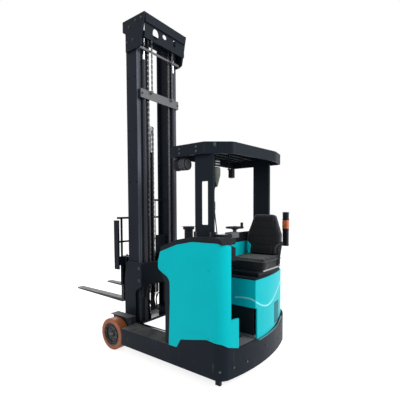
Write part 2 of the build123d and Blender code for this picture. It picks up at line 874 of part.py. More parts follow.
# Outer stage: the lift cylinders stand on its foot plate, and returns carry the clamp plate
foot_rear = lift_station - lift_tube_radius - tie_thick
tie_front = lift_station - lift_tube_radius
return_x = (outer_half - 46, outer_half - 16)
mast_outer = upright(outer_half, outer_inner, mast_low, outer_top)
with mast_outer:
    bar((-outer_half, outer_half), (at(foot_rear), at(mast_front)), (mast_low, lift_tube_low))
    for side in (-1, 1):
        returned = return_x if side > 0 else (-return_x[1], -return_x[0])
        bar(returned, (at(tie_front), at(mast_rear)), (clamp_low, clamp_low + clamp_height))
place(mast_outer, "mast_outer")

# Clamp plate behind the lift cylinders with the chains' lugs, and the tie bar between the head's cheeks
with BuildPart() as mast_ties:
    bar((-outer_half + 16, outer_half - 16), (at(foot_rear), at(tie_front)), (clamp_low, clamp_low + clamp_height))
    bar((-outer_half, outer_half), (at(foot_rear), at(tie_front)), (head_low + 5, head_low + 5 + head_tie_height))
    for side in (-1, 1):
        bar((side * chain_x - 14, side * chain_x + 14),
            (at(sheave_station - sheave_radius - 8), at(foot_rear)),
            (clamp_low + clamp_height - 30, clamp_low + clamp_height))
place(mast_ties, "mast_ties")

head_lip = 30
head_rows = [
    (head_rear, mast_head, 0),
    (mast_front + head_lip, mast_head, 0),
    (mast_front + head_lip, mast_head - 121, 0),
    (mast_front - 18, mast_head - 150, 0),
    (mast_front - 18, head_low, 0),
    (head_rear + 120, head_low, 0),
    (head_rear + 70, head_low + 20, 0),
]
with BuildPart() as mast_top:
    side_plate(outline(head_rows), outer_half, outer_half + 22)
    mirror(about=Plane.YZ)
    bar((-outer_half, outer_half), (at(head_rear), at(head_rear + 45)), (mast_head - 100, mast_head))
place(mast_top, "mast_head")

with BuildPart() as lift_tubes:
    rod((lift_x, at(lift_station), (lift_tube_low + lift_tube_top) / 2),
        lift_tube_radius, lift_tube_top - lift_tube_low, "Z")
    rod((lift_x, at(lift_station), (lift_tube_low + lift_tube_top) / 2 + 20),
        lift_rod_radius + 0.1, lift_tube_top - lift_tube_low, "Z", mode=Mode.SUBTRACT)
    mirror(about=Plane.YZ)
place(lift_tubes, "lift_tubes")

# Mid stage, whose crosshead holds the chain sheaves and the hose drum
mast_mid = upright(mid_half, mid_inner, mid_low, mid_top)
with mast_mid:
    for z in (mid_low + roller_rise, mid_low + roller_rise + roller_pitch):
        for side in (-1, 1):
            roller_out = outer_half - upright_web - 6
            rod((side * (roller_out + mid_half) / 2, at(mast_rear + mast_depth / 2), z),
                roller_radius, roller_out - mid_half - 6, "X")
            rod((side * (roller_out + mid_half) / 2, at(mast_rear + mast_depth / 2), z),
                25, roller_out - mid_half, "X")
    for side in (-1, 1):
        pad_x = (mid_inner + mid_half) / 2
        bar((side * pad_x - mid_flange / 2, side * pad_x + mid_flange / 2),
            (at(lift_station - 25), at(mast_rear) + upright_flange), (crosshead_low, mid_top))
    bar((-mid_half, mid_half), (at(lift_station - 25), at(mast_rear - 8)), (crosshead_low, mid_top))
    for side in (-1, 1):
        bar((side * chain_x - 17, side * chain_x + 17),
            (at(lift_station - 26), at(lift_station + 11)), (crosshead_low - 1, mid_top + 1), mode=Mode.SUBTRACT)
        rod((side * chain_x, at(sheave_station), sheave_height), sheave_radius - 6, chain_width, "X")
        rod((side * chain_x, at(sheave_station + 6), sheave_height), 8, 2 * chain_width, "X")
        for rim in (-1, 1):
            rod((side * chain_x + rim * (chain_width / 2 + 2), at(sheave_station), sheave_height),
                sheave_radius, 4, "X")
    rod((drum_x, at(sheave_station - 5), sheave_height), drum_radius, drum_width, "X")
    bar((-mid_half, mid_half), (at(mast_rear), at(mast_front)), (mid_low, inner_low - tie_gap))
place(mast_mid, "mast_mid")

with BuildPart() as lift_rods:
    rod((lift_x, at(lift_station), (lift_tube_low + 30 + crosshead_low) / 2),
        lift_rod_radius, crosshead_low - lift_tube_low - 30, "Z")
    mirror(about=Plane.YZ)
place(lift_rods, "lift_rods")


def chain_run(x, station, low, high):
    """Upright leaf chain: a narrow core with wider link plates at every pitch."""
    bar((x - chain_width / 2 + 4, x + chain_width / 2 - 4),
        (at(station - chain_thick / 2 + 1), at(station + chain_thick / 2 - 1)), (low, high))
    count = int((high - low) / link_pitch)
    with Locations(*[(x, at(station), low + (index + 0.5) * link_pitch) for index in range(count)]):
        Box(chain_width, chain_thick, link_pitch * 0.7)


# Lift chains over the sheaves: down the mast's rear, and back to the clamp plate's lugs
with BuildPart() as lift_chains:
    for side in (-1, 1):
        front_run = sheave_station + sheave_radius - 6 + chain_thick / 2
        rear_run = sheave_station - sheave_radius + 6 - chain_thick / 2
        chain_run(side * chain_x, front_run, 620, sheave_height)
        chain_run(side * chain_x, rear_run, clamp_low + clamp_height + 5, sheave_height)
        with BuildSketch(Plane.YZ.offset(side * chain_x - chain_width / 2 + 1)) as wrap:
            with Locations((at(sheave_station), sheave_height)):
                Circle(sheave_radius - 6 + chain_thick)
                Circle(sheave_radius - 6, mode=Mode.SUBTRACT)
            with Locations((at(sheave_station), sheave_height - 2 * sheave_radius)):
                Rectangle(4 * sheave_radius, 4 * sheave_radius, mode=Mode.SUBTRACT)
        extrude(wrap.sketch, amount=chain_width - 2)
place(lift_chains, "lift_chains")

# Inner stage
mast_inner = upright(inner_half, inner_inner, inner_low, inner_top)
with mast_inner:
    for z in (inner_low + roller_rise, inner_low + roller_rise + roller_pitch):
        for side in (-1, 1):
            roller_out = mid_half - upright_web - 6
            rod((side * (roller_out + inner_half) / 2, at(mast_rear + mast_depth / 2), z),
                roller_radius, roller_out - inner_half - 6, "X")
            rod((side * (roller_out + inner_half) / 2, at(mast_rear + mast_depth / 2), z),
                25, roller_out - inner_half, "X")
    bar((-inner_half, inner_half), (at(mast_rear), at(mast_front - 20)), (inner_low, free_tube_low))
    bar((-inner_half, inner_half), (at(mast_rear), at(mast_rear + 16)), (inner_top - 100, inner_top))
place(mast_inner, "mast_inner")

with BuildPart() as free_lift_tube:
    rod((0, at(free_station), (free_tube_low + free_tube_top) / 2),
        free_tube_radius, free_tube_top - free_tube_low, "Z")
    rod((0, at(free_station), (free_tube_low + free_tube_top) / 2 + 20),
        free_rod_radius + 0.1, free_tube_top - free_tube_low, "Z", mode=Mode.SUBTRACT)
place(free_lift_tube, "free_lift_tube")

free_chain_reach = free_sheave_radius + chain_thick / 2
free_sheave_height = rod_head + 55
with BuildPart() as free_lift_rod:
    rod((0, at(free_station), (free_tube_low + 400 + rod_head) / 2),
        free_rod_radius, rod_head - free_tube_low - 400, "Z")
    bar((-22, 22), (at(free_station - 20), at(free_station + 20)), (rod_head, rod_head + 16))
    for side in (-1, 1):
        bar((side * 19 - 3, side * 19 + 3), (at(free_station - 16), at(free_station + 16)),
            (rod_head, free_sheave_height + 20))
        rod((side * (chain_width / 2 + 2), at(free_station), free_sheave_height), free_sheave_radius + 6, 4, "X")
    rod((0, at(free_station), free_sheave_height), free_sheave_radius, chain_width, "X")
    rod((0, at(free_station), free_sheave_height), 8, 46, "X")
place(free_lift_rod, "free_lift_rod")

# Chains of the free lift, in front of the cylinder and behind it
with BuildPart() as free_chains:
    for side in (-1, 1):
        chain_run(0, free_station + side * free_chain_reach, 860, free_sheave_height)
    with BuildSketch(Plane.YZ.offset(1 - chain_width / 2)) as wrap:
        with Locations((at(free_station), free_sheave_height)):
            Circle(free_sheave_radius + chain_thick)
            Circle(free_sheave_radius, mode=Mode.SUBTRACT)
        with Locations((at(free_station), free_sheave_height - 2 * free_sheave_radius)):
            Rectangle(4 * free_sheave_radius, 4 * free_sheave_radius, mode=Mode.SUBTRACT)
    extrude(wrap.sketch, amount=chain_width - 2)
place(free_chains, "free_chains")

# Lift carriage in the inner stage
lift_plate_x = inner_inner - 30
lift_plate_half = 9
lift_rollers = (860, 1180)
lift_inside_low = 790
lift_plate_top = 1250
lift_rows = [
    (mast_rear + 30, lift_inside_low, 0),
    (mast_front + 5, lift_inside_low, 0),
    (mast_front + 5, lower_bar_low, 0),
    (shift_rear - 25, lower_bar_low, 0),
    (shift_rear - 25, fork_bar_top, 60),
    (mast_front, lift_plate_top, 0),
    (mast_rear + 30, lift_plate_top, 40),
]
with BuildPart() as lift_carriage:
    for side in (-1, 1):
        side_plate(outline(lift_rows), side * lift_plate_x - lift_plate_half, side * lift_plate_x + lift_plate_half)
        for z in lift_rollers:
            roller_out = inner_half - upright_web - 6
            roller_low = lift_plate_x + 14
            rod((side * (roller_out + roller_low) / 2, at(mast_rear + mast_depth / 2), z),
                roller_radius, roller_out - roller_low, "X")
            rod((side * (roller_out + lift_plate_x) / 2, at(mast_rear + mast_depth / 2), z),
                25, roller_out - lift_plate_x, "X")
    for low, high in ((lower_bar_low, lower_bar_top), (fork_bar_low, fork_bar_top)):
        bar((-300, 300), (at(shift_rear - 25), at(shift_rear)), (low, high))
place(lift_carriage, "lift_carriage")

# Side shifter sliding on the lift carriage
tilt_pin_radius = 12
ear_x = 190
with BuildPart() as side_shifter:
    for low, high in ((lower_bar_low, lower_bar_top), (fork_bar_low, fork_bar_top)):
        bar((-330, 330), (at(shift_low), at(shift_low + shift_thick)), (low, high))
    for side in (-1, 1):
        bar((side * ear_x - 15, side * ear_x + 15), (at(shift_low), at(shift_low + shift_thick)),
            (lower_bar_low, fork_bar_top))
        bar((side * ear_x - 15, side * ear_x + 15), (at(shift_low), at(tilt_station)),
            (tilt_height - tilt_pin_radius, tilt_height + tilt_pin_radius))
        rod((side * ear_x, at(tilt_station), tilt_height), tilt_pin_radius, 80, "X")
place(side_shifter, "side_shifter")

# Tilting fork carriage with the load backrest
backrest_y = (at(tilt_rear), at(tilt_rear + fork_bar_thick))
with BuildPart() as fork_carriage:
    bar((-backrest_half, backrest_half), backrest_y, (fork_bar_low, fork_bar_top))
    bar((-backrest_half + 60, backrest_half - 60), backrest_y, (lower_bar_low, lower_bar_top))
    for side in (-1, 1):
        bar((side * 330 - 10, side * 330 + 10), backrest_y, (lower_bar_low, fork_bar_top))
        bar((side * 390 - 10, side * 390 + 10), (at(fork_heel - 78), at(fork_heel)), (backrest_low, 1450))
        for ear in (-1, 1):
            x = side * ear_x + ear * 30
            rod((x, at(tilt_station), tilt_height), ear_radius, 14, "X")
            bar((x - 7, x + 7), (at(tilt_station), at(tilt_rear)),
                (tilt_height - ear_radius, tilt_height + ear_radius))
            rod((x, at(tilt_station), tilt_height), tilt_pin_radius + bore_gap, 20, "X", mode=Mode.SUBTRACT)
    for x in (-330, -110, 110, 330):
        bar((x - 9, x + 9), (at(tilt_rear + 5), at(tilt_rear + 23)), (fork_bar_top, backrest_top - 5))
    for low, high in ((1180, 1200), (backrest_top - 24, backrest_top)):
        bar((-backrest_half + 12, backrest_half - 12), (at(tilt_rear + 2), at(tilt_rear + 26)), (low, high))
place(fork_carriage, "fork_carriage")

# Forks hung on the carriage bars
fork_rows = [
    (fork_heel - fork_thick, fork_bar_top, 0),
    (fork_heel - fork_thick, fork_top - fork_thick, 25),
    (overall_length, fork_top - 14, 0),
    (overall_length, fork_top, 0),
    (fork_heel, fork_top, 12),
    (fork_heel, fork_bar_top, 0),
]
for side, suffix in ((-1, "left"), (1, "right")):
    with BuildPart() as fork:
        side_plate(outline(fork_rows), side * fork_x - fork_width / 2, side * fork_x + fork_width / 2)
        tip_edges = fork.edges().filter_by(Axis.Z).group_by(Axis.Y)[-1]
        fillet(tip_edges, 35)
    place(fork, f"fork_{suffix}")
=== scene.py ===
# %% [markdown]
# # A seated reach truck, dressed around its fixed frame
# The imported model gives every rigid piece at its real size, in metres, +Y towards the forks and +X
# towards the seat's side. This lesson gives those pieces their finishes and adds what the frame leaves
# out: cloth, lenses, bolts, hoses and wear. Nothing of the frame is moved or resized.

# %% Load the frame
import json
import math

import bmesh
import bpy
import numpy as np
from mathutils import Matrix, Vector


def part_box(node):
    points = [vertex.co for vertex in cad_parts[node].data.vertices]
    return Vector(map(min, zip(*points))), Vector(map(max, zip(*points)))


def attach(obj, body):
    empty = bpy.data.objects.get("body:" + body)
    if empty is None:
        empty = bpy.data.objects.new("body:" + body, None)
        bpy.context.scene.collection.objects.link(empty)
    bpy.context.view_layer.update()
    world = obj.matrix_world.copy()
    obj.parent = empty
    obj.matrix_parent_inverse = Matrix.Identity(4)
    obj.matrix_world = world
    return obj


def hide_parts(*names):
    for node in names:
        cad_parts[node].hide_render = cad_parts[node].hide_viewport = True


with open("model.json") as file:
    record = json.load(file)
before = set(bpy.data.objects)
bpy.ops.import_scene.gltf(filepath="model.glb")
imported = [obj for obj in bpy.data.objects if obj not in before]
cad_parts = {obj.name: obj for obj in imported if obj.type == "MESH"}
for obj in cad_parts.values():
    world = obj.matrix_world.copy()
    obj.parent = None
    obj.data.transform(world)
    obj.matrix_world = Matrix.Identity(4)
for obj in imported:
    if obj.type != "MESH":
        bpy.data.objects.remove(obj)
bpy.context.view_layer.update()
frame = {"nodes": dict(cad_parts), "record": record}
scene = bpy.context.scene


def unit(vectors):
    """Vectors, one or a row for each, brought to length 1."""
    vectors = np.asarray(vectors, float)
    return vectors / np.linalg.norm(vectors, axis=-1, keepdims=True)


def added(name, data, columns=None):
    """A new object in the scene; columns are its right, up and back axes and its place."""
    obj = bpy.data.objects.new(name, data)
    scene.collection.objects.link(obj)
    if columns:
        matrix = np.eye(4)
        matrix[:3] = np.stack(columns, axis=1)
        obj.matrix_world = Matrix(matrix.tolist())
    return obj


# %% [markdown]
# ## The camera
# The photograph was taken at head height from behind the truck's left corner with a wide lens. A place,
# a heading from +Y towards +X, a tilt and a small roll say it all. The lens is the focal length over
# the frame's width, and the shift puts the lens axis where the photograph has it.

# %% Camera
FRAME_PIXELS = 400.0
SENSOR = 36.0
FOCAL_PIXELS = 325.6
AXIS_PIXEL = (203.61, 223.13)
CAMERA_PLACE = (-2.8646, -2.8366, 1.5747)
HEADING, TILT, ROLL = (math.radians(v) for v in (52.585, -2.374, -0.241))


def camera_columns():
    """Right, up, back and place: ahead = (sin h cos t, cos h cos t, sin t), turned by the roll."""
    forwards = np.array([math.sin(HEADING), math.cos(HEADING), 0.0])
    ahead = math.cos(TILT) * forwards + (0.0, 0.0, math.sin(TILT))
    level = np.array([math.cos(HEADING), -math.sin(HEADING), 0.0])
    upright = np.cross(level, ahead)
    right = math.cos(ROLL) * level + math.sin(ROLL) * upright
    up = math.cos(ROLL) * upright - math.sin(ROLL) * level
    return right, up, -ahead, CAMERA_PLACE


camera_data = bpy.data.cameras.new("photo_camera")
camera_data.sensor_width = SENSOR
camera_data.lens = FOCAL_PIXELS / FRAME_PIXELS * SENSOR
camera_data.shift_x = 0.5 - AXIS_PIXEL[0] / FRAME_PIXELS
camera_data.shift_y = AXIS_PIXEL[1] / FRAME_PIXELS - 0.5
scene.camera = added("photo_camera", camera_data, camera_columns())
print("lens", round(camera_data.lens, 2), "mm")

# %% [markdown]
# ## Light, floor and backdrop
# Large soft lamps and an even world show colours about as they are written. The floor and the world
# are white only where the camera, a mirror or a glass looks at them, so no extra light lands on the
# truck, and the floor still keeps a soft shadow.

# %% Stage
WORLD_LIGHT = 0.42
FLOOR_GLOW = 0.78
TRUCK_MIDDLE = (0.0, -0.3, 1.3)


def emptied(tree):
    """Empty a node tree and give two functions: one makes a node with its inputs, one a link."""
    def node(kind, **inputs):
        made = tree.nodes.new("ShaderNode" + kind)
        for socket, value in inputs.items():
            made.inputs[socket.replace("_", " ").title()].default_value = value
        return made

    tree.nodes.clear()
    return node, tree.links.new


def looked_at(node, link):
    """1 where the camera, a mirror or a glass looks, else 0: the largest of three Light Path outputs."""
    path = node("LightPath")
    seen = path.outputs["Is Camera Ray"]
    for ray in ("Is Glossy Ray", "Is Transmission Ray"):
        larger = node("Math")
        larger.operation = "MAXIMUM"
        link(seen, larger.inputs[0])
        link(path.outputs[ray], larger.inputs[1])
        seen = larger.outputs[0]
    return seen


def world_light(strength):
    """World: grey light at a strength, and white at 1 where it is looked at."""
    world = bpy.data.worlds.new("studio")
    world.use_nodes = True
    node, link = emptied(world.node_tree)
    mix = node("MixShader")
    link(looked_at(node, link), mix.inputs[0])
    for place, power in ((1, strength), (2, 1.0)):
        light = node("Background", strength=power, color=(1.0, 1.0, 1.0, 1.0))
        link(light.outputs[0], mix.inputs[place])
    out = node("OutputWorld")
    link(mix.outputs[0], out.inputs["Surface"])
    scene.world = world


def area_lamp(name, place, size, power):
    """Soft square lamp at a place, turned to the truck's middle."""
    data = bpy.data.lights.new(name, "AREA")
    data.shape = "SQUARE"
    data.size = size
    data.energy = power
    back = unit(np.subtract(place, TRUCK_MIDDLE))
    side = unit(np.cross((0.0, 0.0, 1.0), back))
    added(name, data, (side, np.cross(back, side), back, place))


world_light(WORLD_LIGHT)
area_lamp("key_lamp", (1.5, -6.5, 5.0), 4.0, 430.0)
area_lamp("fill_lamp", (-6.0, -1.0, 4.0), 5.0, 175.0)
area_lamp("rim_lamp", (3.5, 5.0, 5.0), 4.0, 240.0)


def floor_finish():
    """Grey floor to light rays; where it is looked at, the same grey plus a white glow, so shadows stay."""
    material = bpy.data.materials.new("pale_floor")
    material.use_nodes = True
    node, link = emptied(material.node_tree)
    grey = node("BsdfDiffuse", color=(0.6, 0.6, 0.6, 1.0))
    glow = node("Emission", strength=FLOOR_GLOW)
    both = node("AddShader")
    mix = node("MixShader")
    out = node("OutputMaterial")
    link(grey.outputs[0], both.inputs[0])
    link(glow.outputs[0], both.inputs[1])
    link(looked_at(node, link), mix.inputs[0])
    link(grey.outputs[0], mix.inputs[1])
    link(both.outputs[0], mix.inputs[2])
    link(mix.outputs[0], out.inputs["Surface"])
    return material


FLOOR_HALF = 60.0
corners = [(x * FLOOR_HALF, y * FLOOR_HALF, 0) for x, y in ((-1, -1), (1, -1), (1, 1), (-1, 1))]
floor_mesh = bpy.data.meshes.new("floor")
floor_mesh.from_pydata(corners, [], [(0, 1, 2, 3)])
floor_mesh.materials.append(floor_finish())
floor = added("floor", floor_mesh)
scene.view_settings.view_transform = "Standard"

# %% [markdown]
# ## A bench for finishes
# A finish starts with one colour and then gets what years of work add: cloudy tone, scratches, edges
# rubbed bare, dust on what faces up. Each of these is a grey mask, and masks decide between colours.
# A small class keeps the node plumbing out of sight, so each finish below reads like a recipe.

# %% The bench
EDGE_WIDTH = 0.003


def shade(colour, factor):
    """A colour times a factor."""
    return tuple(min(1.0, channel * factor) for channel in colour)


class Finish:
    """One material in the making: its nodes, its links and its Principled shader."""

    def __init__(self, name, roughness=0.5, specular=0.3, **sockets):
        self.material = bpy.data.materials.new(name)
        self.material.use_nodes = True
        self.node, self.link = emptied(self.material.node_tree)
        self.shader = self.node("BsdfPrincipled", roughness=roughness, **sockets)
        self.shader.inputs["Specular IOR Level"].default_value = specular
        out = self.node("OutputMaterial")
        self.link(self.shader.outputs[0], out.inputs["Surface"])
        self.where = self.node("TexCoord").outputs["Object"]
        self.facing = self.node("NewGeometry").outputs["Normal"]

    def feed(self, socket, value):
        """Link an output to a socket, or set a number or colour on it."""
        if isinstance(value, bpy.types.NodeSocket):
            self.link(value, socket)
        elif isinstance(value, tuple) and len(value) == 3 and socket.type == "RGBA":
            socket.default_value = (*value, 1.0)
        else:
            socket.default_value = value

    def scaled(self, scale):
        """Object coordinates times a scale on each axis."""
        mapping = self.node("Mapping", scale=scale)
        self.link(self.where, mapping.inputs["Vector"])
        return mapping.outputs[0]

    def cloud(self, scale, detail=4.0, stretch=(1.0, 1.0, 1.0)):
        """Fractal noise from 0 to 1, stretched on each axis."""
        noise = self.node("TexNoise", scale=scale, detail=detail)
        self.link(self.scaled(stretch), noise.inputs["Vector"])
        return noise.outputs["Fac"]

    def bands(self, scale, axis, stretch=(1.0, 1.0, 1.0)):
        """Sine bands across an axis, from 0 to 1."""
        wave = self.node("TexWave", scale=scale)
        wave.bands_direction = axis
        self.link(self.scaled(stretch), wave.inputs["Vector"])
        return wave.outputs["Fac"]

    def maths(self, kind, *values):
        """One Math node."""
        node = self.node("Math")
        node.operation = kind
        for socket, value in zip(node.inputs, values):
            self.feed(socket, value)
        return node.outputs[0]

    def times(self, *values):
        """The product of masks and numbers."""
        product = values[0]
        for value in values[1:]:
            product = self.maths("MULTIPLY", product, value)
        return product

    def step(self, value, low, high):
        """0 below low, 1 above high, straight between."""
        node = self.node("MapRange", from_min=low, from_max=high)
        self.feed(node.inputs["Value"], value)
        return node.outputs[0]

    def part(self, vector, axis):
        """One component of a vector."""
        split = self.node("SeparateXYZ")
        self.link(vector, split.inputs[0])
        return split.outputs[axis]

    def mixed(self, factor, first, second):
        """first where the factor is 0, second where it is 1."""
        node = self.node("Mix")
        node.data_type = "RGBA"
        self.feed(node.inputs[0], factor)
        self.feed(node.inputs[6], first)
        self.feed(node.inputs[7], second)
        return node.outputs[2]

    def toned(self, colour, darker, paler, scale, detail=4.0):
        """The colour, clouded between two factors of itself."""
        return self.mixed(self.cloud(scale, detail), shade(colour, darker), shade(colour, paler))

    def edges(self, width=EDGE_WIDTH):
        """1 on outer and inner edges: one minus the true normal times a normal rounded over the width."""
        rounded = self.node("Bevel", radius=width)
        rounded.samples = 4
        product = self.node("VectorMath")
        product.operation = "DOT_PRODUCT"
        self.link(rounded.outputs[0], product.inputs[0])
        self.link(self.facing, product.inputs[1])
        return self.step(product.outputs["Value"], 0.99, 0.8)

    def chipped_edges(self, scale, low, high, detail=4.0):
        """The edges, broken up by a cloud."""
        return self.times(self.edges(), self.step(self.cloud(scale, detail), low, high))

    def bump(self, height, distance):
        """Raise the surface by a height map, in metres at 1."""
        node = self.node("Bump", distance=distance)
        self.link(height, node.inputs["Height"])
        self.link(node.outputs[0], self.shader.inputs["Normal"])

    def done(self, colour, roughness=None):
        """Give the shader its colour, and a roughness map if there is one."""
        self.feed(self.shader.inputs["Base Color"], colour)
        if roughness is not None:
            self.feed(self.shader.inputs["Roughness"], roughness)
        return self.material


# %% [markdown]
# ## Paint
# Powder coat on steel is even, with a faint orange-peel skin. Use shows at edges, where it rubs through
# to primer, low down, where pallets and boots scrape it, and on top, where dust lies. One function with
# a few amounts makes every painted finish, so the truck looks like one machine.

# %% Painted steel
SCRAPES_FADE = (0.45, 0.05)
DUST = (0.17, 0.17, 0.165)


def enamel(name, colour, worn, roughness=0.42, specular=0.3, wear=0.6, dust=0.2):
    """Tone + rubbed edges + low scrapes + dust on upward faces, over an orange-peel bump."""
    finish = Finish(name, roughness, specular)
    tone = finish.toned(colour, 0.86, 1.12, 2.2, 5.0)
    scratch = finish.step(finish.cloud(38.0, 6.0, (1.0, 1.0, 0.14)), 0.64, 0.74)
    low_down = finish.step(finish.part(finish.where, 2), *SCRAPES_FADE)
    scrapes = finish.times(scratch, low_down, wear)
    rubbed = finish.times(finish.chipped_edges(55.0, 0.45, 0.62, 5.0), wear)
    lost = finish.maths("MAXIMUM", scrapes, rubbed)
    bare = finish.mixed(lost, tone, worn)
    upward = finish.step(finish.part(finish.facing, 2), 0.75, 0.98)
    settled = finish.times(upward, finish.cloud(9.0, 6.0), dust)
    finish.bump(finish.cloud(420.0, 2.0), 0.00012)
    dull = finish.maths("ADD", finish.times(finish.cloud(7.0, 5.0), 0.18), roughness - 0.09)
    return finish.done(finish.mixed(settled, bare, DUST), dull)


TURQUOISE = (0.001, 0.50, 0.56)
BLUE_BLACK = (0.0075, 0.0115, 0.0185)
SCRAPED = (0.16, 0.165, 0.175)
paints = {
    "turquoise_paint": enamel("turquoise_paint", TURQUOISE, (0.12, 0.22, 0.23), 0.36, 0.06, 0.35, 0.05),
    "dark_paint": enamel("dark_paint", BLUE_BLACK, (0.10, 0.105, 0.11), 0.45, 0.08, dust=0.3),
    "grey_paint": enamel("grey_paint", (0.13, 0.132, 0.142), (0.25, 0.25, 0.26), 0.5, 0.3, dust=0.2),
    "battery_steel": enamel("battery_steel", (0.02, 0.02, 0.022), (0.1, 0.1, 0.1), 0.5, 0.3),
}
print("paints", sorted(paints))

# %% [markdown]
# ## The mast's lit faces
# On a mast the faces looking forward and back catch the light, so here they are painted paler than the
# webs, in long upright streaks and a little glossier: a painted highlight. The normal's y says which faces
# these are. The legs and wheel covers are paint again, but scraped and dusty from pallets and boots.

# %% Mast steel
def steel_with_painted_highlight(name, colour, highlight_and_wear_colour, amount):
    """Dark paint whose forward and rear faces carry upright paler streaks, a painted highlight; rubbed
    edges, real wear, take the same paler colour.
    """
    finish = Finish(name, 0.42, 0.1)
    tone = finish.toned(colour, 0.85, 1.2, 2.0, 5.0)
    # Painted highlight: faces whose normal points forward or back are made paler, in broken upright
    # streaks.
    across = finish.maths("ABSOLUTE", finish.part(finish.facing, 1))
    lit_faces = finish.step(across, 0.9, 0.98)
    streaks = finish.step(finish.cloud(60.0, 3.0, (1.0, 1.0, 0.012)), 0.2, 0.62)
    patches = finish.step(finish.cloud(3.0, 3.0, (1.0, 1.0, 0.5)), 0.2, 0.7)
    patchy = finish.maths("ADD", finish.times(patches, 0.4), 0.6)
    bright = finish.times(lit_faces, streaks, amount, patchy)
    rubbed = finish.chipped_edges(50.0, 0.4, 0.7)
    # The painted highlight and the rubbed edges, which are real wear, share one paler colour.
    shown = finish.maths("MAXIMUM", bright, finish.times(rubbed, 0.5))
    finish.bump(finish.cloud(300.0, 3.0, (1.0, 1.0, 0.05)), 0.0001)
    dull = finish.maths("SUBTRACT", 0.44, finish.times(bright, 0.12))
    return finish.done(finish.mixed(shown, tone, highlight_and_wear_colour), dull)


own_finishes = {
    "mast_outer": steel_with_painted_highlight("outer_mast_steel", BLUE_BLACK, (0.125, 0.14, 0.175), 1.0),
    "mast_mid": steel_with_painted_highlight("mid_mast_steel", BLUE_BLACK, (0.075, 0.085, 0.105), 0.6),
    "mast_inner": steel_with_painted_highlight("inner_mast_steel", BLUE_BLACK, (0.06, 0.068, 0.085), 0.5),
    "outrigger_legs": enamel("leg_paint", BLUE_BLACK, SCRAPED, 0.5, 0.1, 0.8, 1.0),
    "wheel_covers": enamel("cover_paint", (0.03, 0.034, 0.042), SCRAPED, 0.5, 0.1, 0.8, 0.8),
    # Painted highlight: the lift tubes' paler purplish grey and their paler faces stand for the light a
    # shiny tube reflects.
    "lift_tubes": steel_with_painted_highlight("lift_tube_painted_highlight", (0.035, 0.035, 0.045), (0.10, 0.10, 0.125), 0.5),
}
print("finishes of their own", sorted(own_finishes))

# %% [markdown]
# ## Steel, chrome, tread and plastic
# Forged steel is dark scale with scraped bright streaks. Hard chrome is a mirror with drawn lines. The
# wheels run on polyurethane, which scuffs paler in bands around the tread. Moulded plastic has a fine
# leather grain, and that grain, not its colour, is what tells it from paint.

# %% Steel and chrome
def forged(name, colour, bright, roughness=0.5, reach=0.75):
    """Scale with bright scraped patches, part metal: metallic is one number, so the export keeps it."""
    finish = Finish(name, roughness, 0.4, metallic=0.45)
    scale_tone = finish.toned(colour, 0.7, 1.5, 6.0, 6.0)
    scraped = finish.step(finish.cloud(30.0, 6.0, (1.0, 0.12, 1.0)), 0.56, 0.72)
    rubbed = finish.maths("MAXIMUM", finish.edges(0.004), finish.times(scraped, 0.6))
    finish.bump(finish.cloud(160.0, 6.0), 0.0003)
    rough = finish.maths("SUBTRACT", roughness, finish.times(rubbed, 0.15))
    return finish.done(finish.mixed(finish.times(rubbed, reach), scale_tone, bright), rough)


def drawn_metal(name, colour, roughness=0.12):
    """Bright metal with fine drawn lines and a few hazy patches."""
    finish = Finish(name, roughness, 0.5, metallic=1.0)
    haze = finish.times(finish.cloud(14.0, 5.0), 0.16)
    finish.bump(finish.cloud(700.0, 2.0, (1.0, 1.0, 0.03)), 0.00002)
    return finish.done(finish.toned(colour, 0.8, 1.0, 5.0), finish.maths("ADD", haze, roughness - 0.04))


paints["forged_steel"] = forged("forged_steel", (0.02, 0.021, 0.024), (0.16, 0.165, 0.175))
paints["chrome"] = drawn_metal("chrome", (0.62, 0.63, 0.65))
bright_steel = drawn_metal("bright_steel", (0.42, 0.43, 0.45), 0.28)
zinc = forged("dull_zinc", (0.045, 0.047, 0.052), (0.20, 0.20, 0.21), 0.4)
chain_steel = forged("chain_steel", (0.05, 0.05, 0.056), (0.30, 0.30, 0.31), 0.45, 1.0)
print("metals", zinc.name, bright_steel.name, chain_steel.name)

# %% [markdown]
# Plastics, treads and lenses follow. A lens is a clear shell that passes some light, with its colour
# from within and its ribs from bands on Object coordinates.

# %% Plastic, tread, lenses and glass
def moulded(name, colour, grain=650.0, roughness=0.55, specular=0.1):
    """Leather grain: cell edges of a fine Voronoi under a soft cloud of tone."""
    finish = Finish(name, roughness, specular)
    cells = finish.node("TexVoronoi", scale=grain)
    cells.feature = "DISTANCE_TO_EDGE"
    finish.link(finish.where, cells.inputs["Vector"])
    finish.bump(finish.step(cells.outputs["Distance"], 0.0, 0.25), 0.00015)
    worn = finish.chipped_edges(60.0, 0.4, 0.7)
    tone = finish.toned(colour, 0.8, 1.25, 4.0, 5.0)
    rough = finish.maths("ADD", finish.times(finish.cloud(9.0), 0.15), roughness - 0.07)
    paler = finish.mixed(finish.times(worn, 0.5), tone, shade(colour, 3.5))
    return finish.done(paler, rough)


def polyurethane(name, colour):
    """Tread: scuffed bands around the rim, small dark nicks and a fine rubbery bump."""
    finish = Finish(name, 0.5, 0.4)
    scuffs = finish.step(finish.cloud(45.0, 5.0, (1.0, 0.2, 0.2)), 0.5, 0.75)
    tone = finish.toned(colour, 0.7, 1.25, 7.0, 5.0)
    nicks = finish.step(finish.cloud(90.0, 3.0), 0.68, 0.74)
    finish.bump(finish.cloud(260.0, 4.0), 0.0002)
    dirty = finish.mixed(finish.times(scuffs, 0.35), tone, shade(colour, 0.35))
    return finish.done(finish.mixed(nicks, dirty, (0.03, 0.02, 0.015)))


def lens(name, colour, ribs=0.0, passing=0.35):
    """Coloured lamp lens with moulded upright ribs, letting some light through."""
    finish = Finish(name, 0.12, 0.5, transmission_weight=passing)
    if ribs:
        finish.bump(finish.bands(ribs, "Y"), 0.0008)
    else:
        finish.bump(finish.cloud(220.0, 2.0), 0.0002)
    return finish.done(finish.toned(colour, 0.85, 1.0, 12.0))


